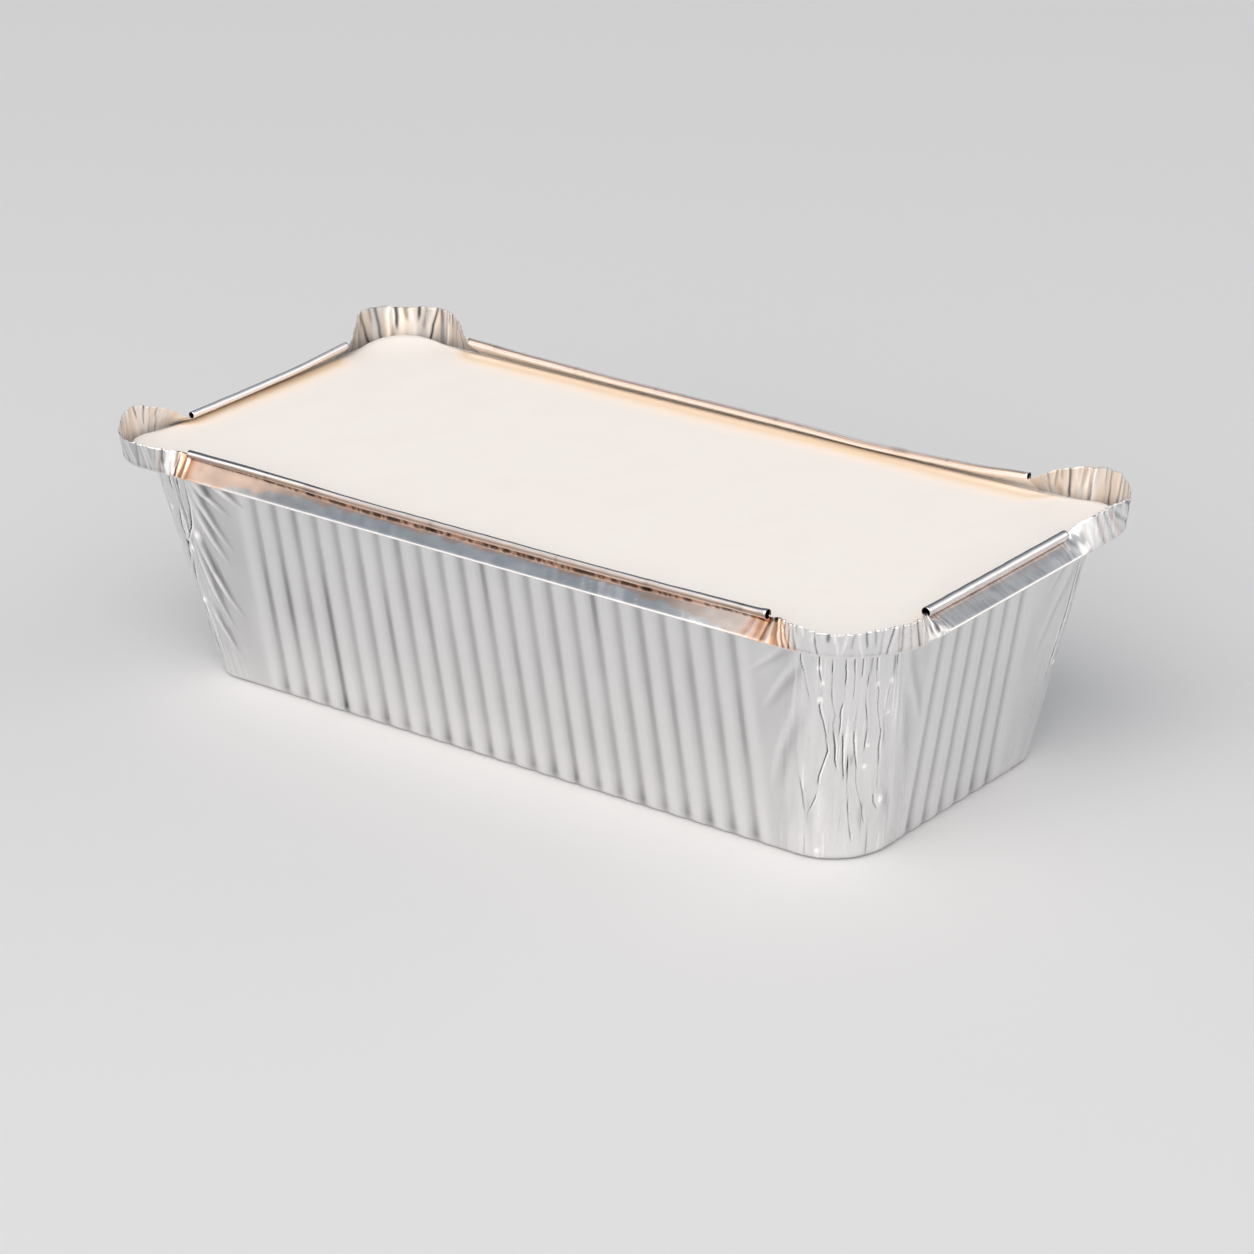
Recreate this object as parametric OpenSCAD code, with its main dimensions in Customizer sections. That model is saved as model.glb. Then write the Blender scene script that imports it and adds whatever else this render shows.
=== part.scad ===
// Oblong foil food container with a plain board lid held under its folded rim.
// The origin is at the middle of the base, X runs along the length, and the front is at -Y.

/* [Tray] */
// Length over the ledge
ledge_length = 200; // [170:1:260]
// Width over the ledge
ledge_width = 97.5; // [90:0.5:150]
// Height of the ledge above the base
ledge_height = 50.8; // [30:0.2:80]
// Width of the ledge at the two ends
end_ledge = 6.5; // [4:0.1:9]
// Width of the ledge along the two long sides
side_ledge = 5.6; // [4:0.1:9]
// How far each end wall leans in, from the ledge to the base
end_taper = 8.9; // [4:0.1:12]
// How far each long wall leans in, from the ledge to the base
side_taper = 8.4; // [4:0.1:12]
// Radius of the wall's corners
corner_r = 7.5; // [6:0.5:12]
// Radius of the front right corner, which is pressed rounder than the rest
soft_corner_r = 13; // [8:0.2:16]
// Radius between the base and the wall
foot_r = 2; // [1:0.1:4]
// Thickness of the foil
foil = 0.1; // [0.08:0.01:0.2]

/* [Ribs] */
// Distance from one groove to the next, with a rib between them
rib_pitch = 5.63; // [4.8:0.01:9]
// How far a groove is pressed into the wall
groove_depth = 0.5; // [0.2:0.05:0.8]
// Width of the floor of a groove
groove_floor = 0.6; // [0.3:0.1:1.2]
// Width of the slope at each side of a groove
groove_flank = 1.5; // [0.8:0.1:1.7]
// Least plain wall between the last groove and a corner
plain_wall = 4.5; // [1:0.1:8]

/* [Corner pleats] */
// Number of pleats in each corner
pleats = 13; // [6:1:13]
// How far a pleat of the wall stands in or out
pleat_depth = 0.22; // [0.05:0.01:0.3]
// How far a pleat of the standing flange leans in or out at its edge
crinkle_depth = 0.35; // [0.05:0.05:0.6]
// How uneven the flange's edge is at the corners
ragged_edge = 0.5; // [0:0.05:1]

/* [Rim] */
// Height of the rounded fold at the ledge's outer edge
fold_rise = 0.3; // [0.2:0.05:1]
// Width of the folded flange, from the fold to the bead
flange_w = 5.3; // [4:0.1:7]
// Slope of the folded flange at the ends of its bead
fold_angle = 36; // [30:1:60]
// How much flatter the long flanges lie half-way along
long_droop = 13; // [0:0.5:16]
// How much flatter the end flanges lie half-way along
short_droop = 5; // [0:0.5:16]
// Outer diameter of the rolled bead
bead_d = 2.1; // [1.4:0.1:3]
// How far round the bead is rolled
bead_turn = 310; // [200:5:320]
// Height of the flange where it stands: front right, back right, back left, front left corner
corner_flanges = [5.4, 7.4, 7.7, 6.8]; // [4:0.1:9]
// How far it leans out at each of these corners
corner_leans = [8, 8, 16, 4]; // [0:1:25]
// Length of the gussets at the left and right ends of the front flange
front_gussets = [11.4, 7.8]; // [2:0.1:14]
// Length of the gussets at the left and right ends of the back flange
back_gussets = [11.3, 13.4]; // [2:0.1:14]
// Length of the gussets at the front and back ends of the right flange
right_gussets = [2.7, 13.1]; // [2:0.1:14]
// Length of the gussets at the front and back ends of the left flange
left_gussets = [10.9, 8.1]; // [2:0.1:14]

/* [Lid] */
// Thickness of the board
board = 0.6; // [0.3:0.05:1]
// Space between the lid's top edge and the folded flange over it
lid_clear = 0.8; // [0.5:0.1:1.5]
// Space between the lid and the ledge under it
lid_seat = 0.1; // [0.05:0.05:0.2]
// How far the lid's corners curl up
lid_curl = 1.6; // [0:0.1:2]
// How far from each corner the curl begins
curl_reach = 22; // [18:0.5:26]

/* [Hidden] */

// Corners in order: front right, back right, back left, front left
WALL_R = [soft_corner_r, corner_r, corner_r, corner_r];
// Gussets of each side, in the direction of travel: front, right, back, left
GUSSETS = [
    front_gussets,
    right_gussets,
    [back_gussets[1], back_gussets[0]],
    [left_gussets[1], left_gussets[0]]
];
DROOP = [long_droop, short_droop, long_droop, short_droop];
ledge_r = (end_ledge + side_ledge) / 2;
bead_r = bead_d / 2;
corner_cells = 2 * pleats;
bead_steps = 10;
long_cells = 10;
short_cells = 4;
gusset_cells = 3;
lid_corner_cells = 8;
lid_side_cells = 4;

// Outlines as half length, half width and the four corner radii
LEDGE_EDGE = [ledge_length / 2, ledge_width / 2, [for (r = WALL_R) r + ledge_r]];
WALL_TOP = [LEDGE_EDGE[0] - end_ledge, LEDGE_EDGE[1] - side_ledge, WALL_R];
WALL_FOOT = [WALL_TOP[0] - end_taper, WALL_TOP[1] - side_taper, WALL_R];

function mix(a, b, t) = a + (b - a) * t;
function shrink(o, by) = [o[0] - by, o[1] - by, [for (r = o[2]) r - by]];
function blend(a, b, t) = [mix(a[0], b[0], t), mix(a[1], b[1], t), mix(a[2], b[2], t)];
function smooth(t) = t * t * (3 - 2 * t);

// Direction that side k faces, and the direction of travel along it
function facing(k) = [sin(90 * k), -cos(90 * k)];
function along(k) = [cos(90 * k), sin(90 * k)];
function reach(o, k) = o[(k + 1) % 2];
function half(o, k) = o[k % 2];
function corner_before(k) = (k + 3) % 4;
function side_start(o, k) = o[2][corner_before(k)] - half(o, k);
function side_end(o, k) = half(o, k) - o[2][k];

// Point of outline o, moved out by d and up to z.
// A station is [side, place along it, undef, share of a groove or fold], or a corner's
// [corner, undef, share of its turn, count], or [side] alone for the start of a side.
function spot(o, s, d, z) =
    let (k = s[0])
    s[2] == undef
    ? let (xy = facing(k) * (reach(o, k) + d) + along(k) * (s[1] == undef ? side_start(o, k) : s[1]))
      [xy[0], xy[1], z]
    : let (
        r = o[2][k],
        turn = 90 * s[2],
        centre = facing(k) * (reach(o, k) - r) + along(k) * (half(o, k) - r),
        xy = centre + (facing(k) * cos(turn) + along(k) * sin(turn)) * (r + d)
      )
      [xy[0], xy[1], z];

// Place of a station round the rim, from 0 to 8, to line up two rings of stations
function key(s) =
    s[2] != undef ? 2 * s[0] + 1 + s[2]
    : s[1] == undef ? 2 * s[0]
    : 2 * s[0] + 1 / 2 + s[1] / (2 * half(LEDGE_EDGE, s[0]));

// Stations of one corner
function corner_stations(k) = [for (j = [0:corner_cells - 1]) [k, undef, j / corner_cells, j]];

// Grooves that fit along side k, centred, with four stations each
function groove_count(k) =
    floor(2 * (half(WALL_FOOT, k) - max(WALL_R) - plain_wall) / rib_pitch);
function groove_profile(c) = [
    [c - groove_floor / 2 - groove_flank, 0],
    [c - groove_floor / 2, 1],
    [c + groove_floor / 2, 1],
    [c + groove_floor / 2 + groove_flank, 0]
];
function groove_stations(k) =
    let (n = groove_count(k))
    [for (i = [0:1:n - 1]) for (p = groove_profile((i - (n - 1) / 2) * rib_pitch)) [k, p[0], undef, p[1]]];
WALL_STATIONS = [for (k = [0:3]) each concat([[k]], groove_stations(k), corner_stations(k))];

// Stations of the rim: the start of the side, a gusset, the bead, a gusset and the corner
function bead_start(k) = side_start(LEDGE_EDGE, k) + GUSSETS[k][0];
function bead_end(k) = side_end(LEDGE_EDGE, k) - GUSSETS[k][1];
function bead_cells(k) = k % 2 == 0 ? long_cells : short_cells;
function rim_side(k) = concat(
    [[k]],
    [for (i = [1:gusset_cells - 1])
        [k, mix(side_start(LEDGE_EDGE, k), bead_start(k), i / gusset_cells), undef, i / gusset_cells]],
    [for (i = [0:bead_cells(k)]) [k, mix(bead_start(k), bead_end(k), i / bead_cells(k)), undef, 1]],
    [for (i = [1:gusset_cells - 1])
        [k, mix(bead_end(k), side_end(LEDGE_EDGE, k), i / gusset_cells), undef, 1 - i / gusset_cells]]
);
RIM_STATIONS = [for (k = [0:3]) each concat(rim_side(k), corner_stations(k))];

// Directions are [out, up]. A miter carries the foil's thickness round a bend.
function miter(a, b) = (a + b) / (1 + a * b);
wall_lean = atan2((end_taper + side_taper) / 2, ledge_height - foot_r);
wall_normal = [-cos(wall_lean), sin(wall_lean)];

// Rows of the wall from the base up: [outline, height, groove share, pleat share, inward direction]
FOOT_ROWS = [for (t = [0, 0.5, 1])
    [shrink(WALL_FOOT, foot_r * (1 - sin(90 * t))), foot_r * (1 - cos(90 * t)), t, t / 2,
     t == 1 ? wall_normal : [-sin(90 * t), cos(90 * t)]]];
SLOPE_ROWS = [for (t = [0.25, 0.5, 0.75])
    [blend(WALL_FOOT, WALL_TOP, t), mix(foot_r, ledge_height, t), 1, mix(0.7, 1, t), wall_normal]];
TOP_ROW = [WALL_TOP, ledge_height, 1, 1, miter(wall_normal, [0, 1])];
WALL_ROWS = concat(FOOT_ROWS, SLOPE_ROWS, [TOP_ROW]);
// Rows of the rim: ledge edge, fold, middle of the flange, top of the flange
RIM_ROWS = 4;
wall_rows = len(WALL_ROWS);
rim_rows = RIM_ROWS + bead_steps;

// Pleats go in and out by turns. Each point wanders by an uneven share, the same in every build.
uneven = 0.3;
CREASE = [for (k = [0:3]) [for (row = [0:wall_rows + RIM_ROWS - 1])
    rands(-uneven, uneven, corner_cells, 40 + 10 * k + row)]];
function crease(s, row) = CREASE[s[0]][row][s[3]];
function in_corner(s) = s[2] != undef;
function wander(s, row) =
    in_corner(s) && s[3] > 0 ? [s[0], undef, (s[3] + crease(s, row)) / corner_cells, s[3]] : s;
function pleat(s, row, depth) =
    in_corner(s)
    ? depth * sqrt(sin(180 * s[2])) * (s[3] % 2 == 0 ? -1 : 1) * (1 - uneven + crease(s, row))
    : 0;

function wall_point(row, s, inner) =
    let (
        w = WALL_ROWS[row],
        groove = s[1] == undef ? 0 : groove_depth * s[3] * w[2],
        shift = inner ? w[4] * foil : [0, 0]
    )
    spot(w[0], wander(s, row), pleat(s, row, pleat_depth * w[3]) - groove + shift[0], w[1] + shift[1]);

// How far a rim station is folded: 0 where the flange stands, 1 along the bead
function folded(s) = s[1] == undef ? 0 : smooth(s[3]);
function droop(s) =
    folded(s) < 1 ? 0
    : let (
        mid = (bead_start(s[0]) + bead_end(s[0])) / 2,
        span = (bead_end(s[0]) - bead_start(s[0])) / 2,
        t = (s[1] - mid) / span
      )
      DROOP[s[0]] * (1 - t * t);
function nearest_corner(s) = in_corner(s) || s[1] != undef && s[1] > 0 ? s[0] : corner_before(s[0]);
function slope(s) = mix(90 + corner_leans[nearest_corner(s)], fold_angle - droop(s), folded(s));
function flange_length(s) =
    let (ragged = in_corner(s) ? ragged_edge * crease(s, rim_row(RIM_ROWS - 1)) / (2 * uneven) : 0)
    mix(corner_flanges[nearest_corner(s)] + ragged, flange_w, folded(s));
function upward(s) = [-cos(slope(s)), sin(slope(s))];
function inward(s) = [-sin(slope(s)), -cos(slope(s))];

function rim_row(row) = wall_rows + row;
function rim_profile(row, s, inner) =
    let (
        wave = pleat(s, rim_row(row), crinkle_depth * row / (RIM_ROWS - 1)),
        thick = inner ? foil : 0
    )
    row == 0 ? [-thick, thick]
    : row == 1 ? [wave, fold_rise] + miter([-1, 0], inward(s)) * thick
    : [wave, fold_rise] + upward(s) * flange_length(s) * (row - 1) / 2 + inward(s) * thick;

// The bead rolls outwards, so the foil's inner face is the outside of the roll
function bead_profile(step, s, inner) =
    let (
        centre = rim_profile(RIM_ROWS - 1, s, true) - inward(s) * bead_r,
        turn = bead_turn * step / bead_steps,
        r = inner ? bead_r : bead_r - foil
    )
    centre + (inward(s) * cos(turn) + upward(s) * sin(turn)) * r;
function rim_point(row, s, inner) =
    let (p = row < RIM_ROWS ? rim_profile(row, s, inner) : bead_profile(row - RIM_ROWS + 1, s, inner))
    spot(LEDGE_EDGE, s, p[0], ledge_height + p[1]);
function on_bead(s) = folded(s) == 1;

// Point numbers: one skin is the base's centre, the wall's rows and the rim's rows
WALL_N = len(WALL_STATIONS);
RIM_N = len(RIM_STATIONS);
skin_size = 1 + wall_rows * WALL_N + rim_rows * RIM_N;
function wall_id(row, i) = 1 + row * WALL_N + i % WALL_N;
function rim_id(row, i) = 1 + wall_rows * WALL_N + row * RIM_N + i % RIM_N;
function skin(inner) = concat(
    [[0, 0, inner ? foil : 0]],
    [for (row = [0:wall_rows - 1]) for (s = WALL_STATIONS) wall_point(row, s, inner)],
    [for (row = [0:rim_rows - 1]) for (s = RIM_STATIONS) rim_point(row, s, inner)]
);

// Only the corners have rows half-way up the wall, so the plain cells beside them are fans
foot_top = len(FOOT_ROWS) - 1;
wall_top = wall_rows - 1;
function has_slope_rows(i) = WALL_STATIONS[i % WALL_N][1] == undef;
function wall_quad(low, high, i) =
    quad(wall_id(low, i), wall_id(low, i + 1), wall_id(high, i + 1), wall_id(high, i));
function wall_cell(i) =
    let (left = has_slope_rows(i), right = has_slope_rows(i + 1), rows = [foot_top:wall_top - 1])
    left && right ? [for (row = rows) each wall_quad(row, row + 1, i)]
    : left ? concat(
        [for (row = rows) [wall_id(row, i), wall_id(foot_top, i + 1), wall_id(row + 1, i)]],
        [[wall_id(foot_top, i + 1), wall_id(wall_top, i + 1), wall_id(wall_top, i)]])
    : right ? concat(
        [for (row = rows) [wall_id(foot_top, i), wall_id(row, i + 1), wall_id(row + 1, i + 1)]],
        [[wall_id(foot_top, i), wall_id(wall_top, i + 1), wall_id(wall_top, i)]])
    : wall_quad(foot_top, wall_top, i);
function quad(a, b, c, d) = [[a, b, c], [a, c, d]];

// Triangles between two rings whose stations differ
function below(keys, k) = len([for (q = keys) if (q < k) q]) - 1;
WALL_KEYS = concat([for (s = WALL_STATIONS) key(s)], [8]);
RIM_KEYS = concat([for (s = RIM_STATIONS) key(s)], [8]);
tie = 0.00001;
LEDGE_FACES = concat(
    [for (i = [0:WALL_N - 1])
        [wall_id(wall_top, i), wall_id(wall_top, i + 1), rim_id(0, below(RIM_KEYS, WALL_KEYS[i + 1] - tie))]],
    [for (j = [0:RIM_N - 1])
        [rim_id(0, j + 1), rim_id(0, j), wall_id(wall_top, below(WALL_KEYS, RIM_KEYS[j + 1] + tie))]]
);

// Faces of one skin, seen from outside the tray
SKIN_FACES = concat(
    [for (i = [0:WALL_N - 1]) [0, wall_id(0, i + 1), wall_id(0, i)]],
    [for (row = [0:foot_top - 1]) for (i = [0:WALL_N - 1]) each wall_quad(row, row + 1, i)],
    [for (i = [0:WALL_N - 1]) each wall_cell(i)],
    LEDGE_FACES,
    [for (row = [0:rim_rows - 2]) for (i = [0:RIM_N - 1]) if (has_cell(row, i)) each
        quad(rim_id(row, i), rim_id(row, i + 1), rim_id(row + 1, i + 1), rim_id(row + 1, i))]
);
function has_cell(row, i) =
    row < RIM_ROWS - 1 || on_bead(RIM_STATIONS[i]) && on_bead(RIM_STATIONS[(i + 1) % RIM_N]);

// Cut edges of the foil: along the top, and up the open ends of each bead
function edge_face(a, b) = [a, b, b + skin_size, a + skin_size];
function starts_bead(i) = on_bead(RIM_STATIONS[i]) && !on_bead(RIM_STATIONS[(i + RIM_N - 1) % RIM_N]);
function ends_bead(i) = on_bead(RIM_STATIONS[i]) && !on_bead(RIM_STATIONS[(i + 1) % RIM_N]);
EDGE_FACES = concat(
    [for (i = [0:RIM_N - 1])
        let (row = has_cell(RIM_ROWS, i) ? rim_rows - 1 : RIM_ROWS - 1)
        edge_face(rim_id(row, i), rim_id(row, i + 1))],
    [for (i = [0:RIM_N - 1]) if (starts_bead(i)) for (row = [RIM_ROWS - 1:rim_rows - 2])
        edge_face(rim_id(row, i), rim_id(row + 1, i))],
    [for (i = [0:RIM_N - 1]) if (ends_bead(i)) for (row = [RIM_ROWS - 1:rim_rows - 2])
        edge_face(rim_id(row + 1, i), rim_id(row, i))]
);

function flipped(faces) = [for (f = faces) [for (i = [len(f) - 1:-1:0]) f[i]]];
function lifted(faces, by) = [for (f = faces) [for (i = f) i + by]];

module foil_tray() {
    color("silver")
    polyhedron(
        points = concat(skin(false), skin(true)),
        faces = flipped(concat(SKIN_FACES, lifted(flipped(SKIN_FACES), skin_size), EDGE_FACES)),
        convexity = 10
    );
}

// The lid is a flat board under the flange where that lies lowest. Its four corners curl up
// where the flange stands clear of them. Its rings are scaled copies of its edge.
lid_bottom = foil + lid_seat;
lowest_slope = fold_angle - max(DROOP);
lid_inset = lid_clear + max(0, lid_bottom + board + foil / cos(lowest_slope) - fold_rise) / tan(lowest_slope);
LID_EDGE = shrink(LEDGE_EDGE, lid_inset);
LID_RINGS = [1, 0.88, 0.74, 0.55, 0.25];
LID_STATIONS = [for (k = [0:3]) each concat(
    [for (i = [0:lid_side_cells - 1])
        [k, mix(side_start(LID_EDGE, k), side_end(LID_EDGE, k), i / lid_side_cells)]],
    [for (j = [0:lid_corner_cells - 1]) [k, undef, j / lid_corner_cells]]
)];
LID_N = len(LID_STATIONS);
lid_rings = len(LID_RINGS);
lid_skin = 1 + lid_rings * LID_N;

// Rise of the lid at p: curl_reach from a square corner it begins, and a rounded corner has lid_curl
curl_end = curl_reach - (2 - sqrt(2)) * min(LID_EDGE[2]);
function curl(p) =
    let (past = abs(p[0]) - LID_EDGE[0] + abs(p[1]) - LID_EDGE[1] + curl_reach)
    lid_curl * pow(max(0, past) / curl_end, 2);
function lid_point(s, share, z) =
    let (p = spot(LID_EDGE, s, 0, 0) * share)
    [p[0], p[1], z + curl(p)];
function lid_skin_points(z) = concat(
    [[0, 0, z]],
    [for (share = LID_RINGS) for (s = LID_STATIONS) lid_point(s, share, z)]
);
function lid_id(ring, i) = 1 + ring * LID_N + i % LID_N;
LID_FACES = concat(
    [for (i = [0:LID_N - 1]) [0, lid_id(lid_rings - 1, i), lid_id(lid_rings - 1, i + 1)]],
    [for (ring = [0:lid_rings - 2]) for (i = [0:LID_N - 1]) each
        quad(lid_id(ring + 1, i), lid_id(ring, i), lid_id(ring, i + 1), lid_id(ring + 1, i + 1))]
);
LID_EDGE_FACES = [for (i = [0:LID_N - 1])
    [lid_id(0, i + 1), lid_id(0, i), lid_id(0, i) + lid_skin, lid_id(0, i + 1) + lid_skin]];

module board_lid() {
    underside = ledge_height + lid_bottom;
    color("linen")
    polyhedron(
        points = concat(lid_skin_points(underside + board), lid_skin_points(underside)),
        faces = flipped(concat(LID_FACES, lifted(flipped(LID_FACES), lid_skin), LID_EDGE_FACES)),
        convexity = 4
    );
}

foil_tray();
board_lid();
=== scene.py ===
"""Oblong foil food container with a board lid: the detailed foil, the lid, their materials and the stage.

All geometry is worked out in millimetres and written to the meshes in metres. Sides and corners are
numbered in the direction of travel: front, right, back and left, with corner k after side k.
"""
import math

import bpy
import numpy as np
from mathutils import Matrix

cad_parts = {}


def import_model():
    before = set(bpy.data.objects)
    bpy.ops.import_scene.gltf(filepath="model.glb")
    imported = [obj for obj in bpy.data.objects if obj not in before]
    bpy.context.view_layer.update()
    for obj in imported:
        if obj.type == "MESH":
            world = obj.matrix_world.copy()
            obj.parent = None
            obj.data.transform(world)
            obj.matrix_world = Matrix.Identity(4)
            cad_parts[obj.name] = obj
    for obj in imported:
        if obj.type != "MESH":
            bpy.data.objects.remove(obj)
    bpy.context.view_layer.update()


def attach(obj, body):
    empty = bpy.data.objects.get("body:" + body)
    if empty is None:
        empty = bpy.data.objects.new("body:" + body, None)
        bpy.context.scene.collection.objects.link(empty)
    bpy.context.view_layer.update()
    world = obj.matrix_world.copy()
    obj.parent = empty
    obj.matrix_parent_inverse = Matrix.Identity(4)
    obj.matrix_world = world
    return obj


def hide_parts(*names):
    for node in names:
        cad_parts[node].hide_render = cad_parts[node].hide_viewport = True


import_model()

# Sizes of the container
LEDGE_L, LEDGE_W, LEDGE_H = 200.0, 97.5, 50.8
END_LEDGE, SIDE_LEDGE = 6.5, 5.6
END_TAPER, SIDE_TAPER = 8.9, 8.4
WALL_R = np.array([13.0, 7.5, 7.5, 7.5])
LEDGE_R = (END_LEDGE + SIDE_LEDGE) / 2
FOOT_R, FOIL = 2.0, 0.1
RIB_PITCH, GROOVE_DEPTH, GROOVE_FLOOR, GROOVE_FLANK, PLAIN_WALL = 5.63, 0.5, 0.6, 1.5, 4.5
FOLD_OUT, FOLD_RISE, FLANGE_W = 0.2, 0.3, 5.3
BEAD_R = (0.86, 1.0, 0.83, 0.78)       # by side
BEAD_FLARE, FLARE_REACH = 0.22, 1.6    # the front bead's right end is wider
HOOD_BULGE, HOOD_REACH = 1.1, 4.5      # the right flange bulges at its front end
# Lengths of the gussets at the start and end of each side
GUSSETS = np.array(((11.4, 7.8), (2.7, 13.1), (13.4, 11.3), (8.1, 10.9)))
# Slope of the folded flange above the horizontal: (place along the side, degrees)
BEAD_SLOPES = (
    ((-75.1, 55), (-70, 51), (-60, 49), (-50, 40), (-41, 33.5), (-31, 27.5), (-22, 27), (32, 27), (45, 30),
     (57, 35.5), (65, 39), (73.2, 43)),
    ((-27, 40), (-20, 35), (0, 34), (15, 34), (22.1, 36)),
    ((-73, 42), (-62, 31), (-45, 25.5), (-33, 22.5), (-15, 26), (0, 27), (35, 29), (60, 33.5), (75, 39)),
    ((-27.1, 38), (-12, 27), (5, 23), (24.3, 21)),
)
# The flange round each corner, from bead to bead at even steps: its slope in degrees and its length
CORNER_SLOPES = ((41, 76, 94, 110, 110, 98, 88, 80, 50), (36, 86, 88, 97, 95, 96, 108, 83, 43),
                 (40, 80, 97, 101, 110, 111, 96, 70, 38), (21, 68, 100, 92, 93, 104, 107, 91, 54))
CORNER_LENGTHS = ((5.3, 5.3, 5.5, 5.8, 5.9, 5.8, 5.4, 5.2, 5.3),
                  (5.3, 7.1, 7.5, 6.9, 7.6, 8.0, 7.2, 6.0, 5.3),
                  (5.3, 6.5, 7.8, 7.8, 7.6, 8.0, 7.9, 6.3, 5.3),
                  (5.3, 5.7, 6.7, 6.9, 6.7, 6.1, 6.4, 5.5, 5.3))
LID_INSET, LID_GAP, LID_T, LID_CURL, CURL_REACH = 2.23, 0.2, 0.6, 1.6, 22.0
DETAIL_H = 50.0                         # height of the wall that the folds' shares are taken of

# Detail of the meshes
CORNER_CELLS = (160, 92, 92, 92)
FINE_CELL, PLAIN_CELL = 0.26, 0.6       # width of the columns in a gusset and in the plain wall
RIB_STOPS = (-2.35, -1.8, -1.3, -0.8, -0.3, 0.3, 0.8, 1.3, 1.8, 2.35)
SIDE_ROWS, CORNER_ROWS, FOOT_ROWS = 28, 130, 4
LEDGE_STOPS, FOLD_STOPS = (0.12, 0.5, 0.9), (0.0, 0.35, 0.7)
FLANGE_CELLS, BEAD_CELLS = 14, 24
# Rows of each bead, by side: (row, degrees round the roll)
BEAD_STEPS = (
    ((0, 0), (6, 118), (21, 310), (24, 350)),
    ((0, 0), (5, 102), (20, 294), (24, 350)),
    ((0, 0), (15, 190), (24, 350)),
    ((0, 0), (15, 190), (24, 350)),
)

# Camera and stage
FOCAL_PX, PHOTO_PX = 4201.0, 1254.0
AZIMUTH, ELEVATION, ROLL, DISTANCE = 38.175, 22.791, -1.007, 864.5
TARGET = (10.686, -8.99, 25.0)
KEY_PLACE, KEY_SIZE, KEY_POWER = (0.65, -1.5, 1.4), 2.6, 27
FLOOR_REACH, FLOOR_COLOUR = 6, (0.72, 0.72, 0.72, 1)

FACING = np.array([[0, -1], [1, 0], [0, 1], [-1, 0]], float)
ALONG = np.array([[1, 0], [0, 1], [-1, 0], [0, -1]], float)


def smooth(t):
    t = np.clip(t, 0, 1)
    return t * t * (3 - 2 * t)


def mix(a, b, t):
    return a + (b - a) * t


def bell(x, width):
    return np.exp(-(x / width) ** 2)


# Seeded noise
NOISE_CELLS = 4096
HASH_X, HASH_Y, HASH_SEED = 1619, 31337, 6971
NOISE_TABLE = np.random.default_rng(11).uniform(-1, 1, NOISE_CELLS)


def noise(x, y, seed=0):
    """Smooth noise from -1 to 1 with a cell of size 1."""
    x, y = np.broadcast_arrays(np.asarray(x, float), np.asarray(y, float))
    xi, yi = np.floor(x).astype(int), np.floor(y).astype(int)
    fx, fy = smooth(x - xi), smooth(y - yi)

    def at(i, j):
        return NOISE_TABLE[(i * HASH_X + j * HASH_Y + seed * HASH_SEED) % NOISE_CELLS]

    low = mix(at(xi, yi), at(xi + 1, yi), fx)
    high = mix(at(xi, yi + 1), at(xi + 1, yi + 1), fx)
    return mix(low, high, fy)


# Outlines and columns
def outline(length, width, radii):
    """Half length, half width and the four corner radii."""
    return np.concatenate([[length / 2, width / 2], radii])


LEDGE = outline(LEDGE_L, LEDGE_W, WALL_R + LEDGE_R)
WALL_TOP = outline(LEDGE_L - 2 * END_LEDGE, LEDGE_W - 2 * SIDE_LEDGE, WALL_R)
WALL_FOOT = WALL_TOP - np.array([END_TAPER, SIDE_TAPER, 0, 0, 0, 0])


def half(o, k):
    return o[k % 2]


def side_start(o, k):
    return o[2 + (k + 3) % 4] - half(o, k)


def side_end(o, k):
    return half(o, k) - o[2 + k]


def groove_centres(k):
    n = int((2 * (half(WALL_FOOT, k) - WALL_R.max() - PLAIN_WALL)) // RIB_PITCH)
    return (np.arange(n) - (n - 1) / 2) * RIB_PITCH


RIB_EDGES = np.array([groove_centres(side)[-1] + RIB_STOPS[-1] for side in range(4)])


def bead_span(k):
    return side_start(LEDGE, k) + GUSSETS[k, 0], side_end(LEDGE, k) - GUSSETS[k, 1]


def spread(length, gusset):
    """Shares of the way from a corner to the first rib, fine as far as the bead's end."""
    fine = np.linspace(0, gusset, math.ceil(gusset / FINE_CELL), endpoint=False)
    plain = np.linspace(gusset, length, math.ceil((length - gusset) / PLAIN_CELL), endpoint=False)
    return np.concatenate([fine, plain]) / length


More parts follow.
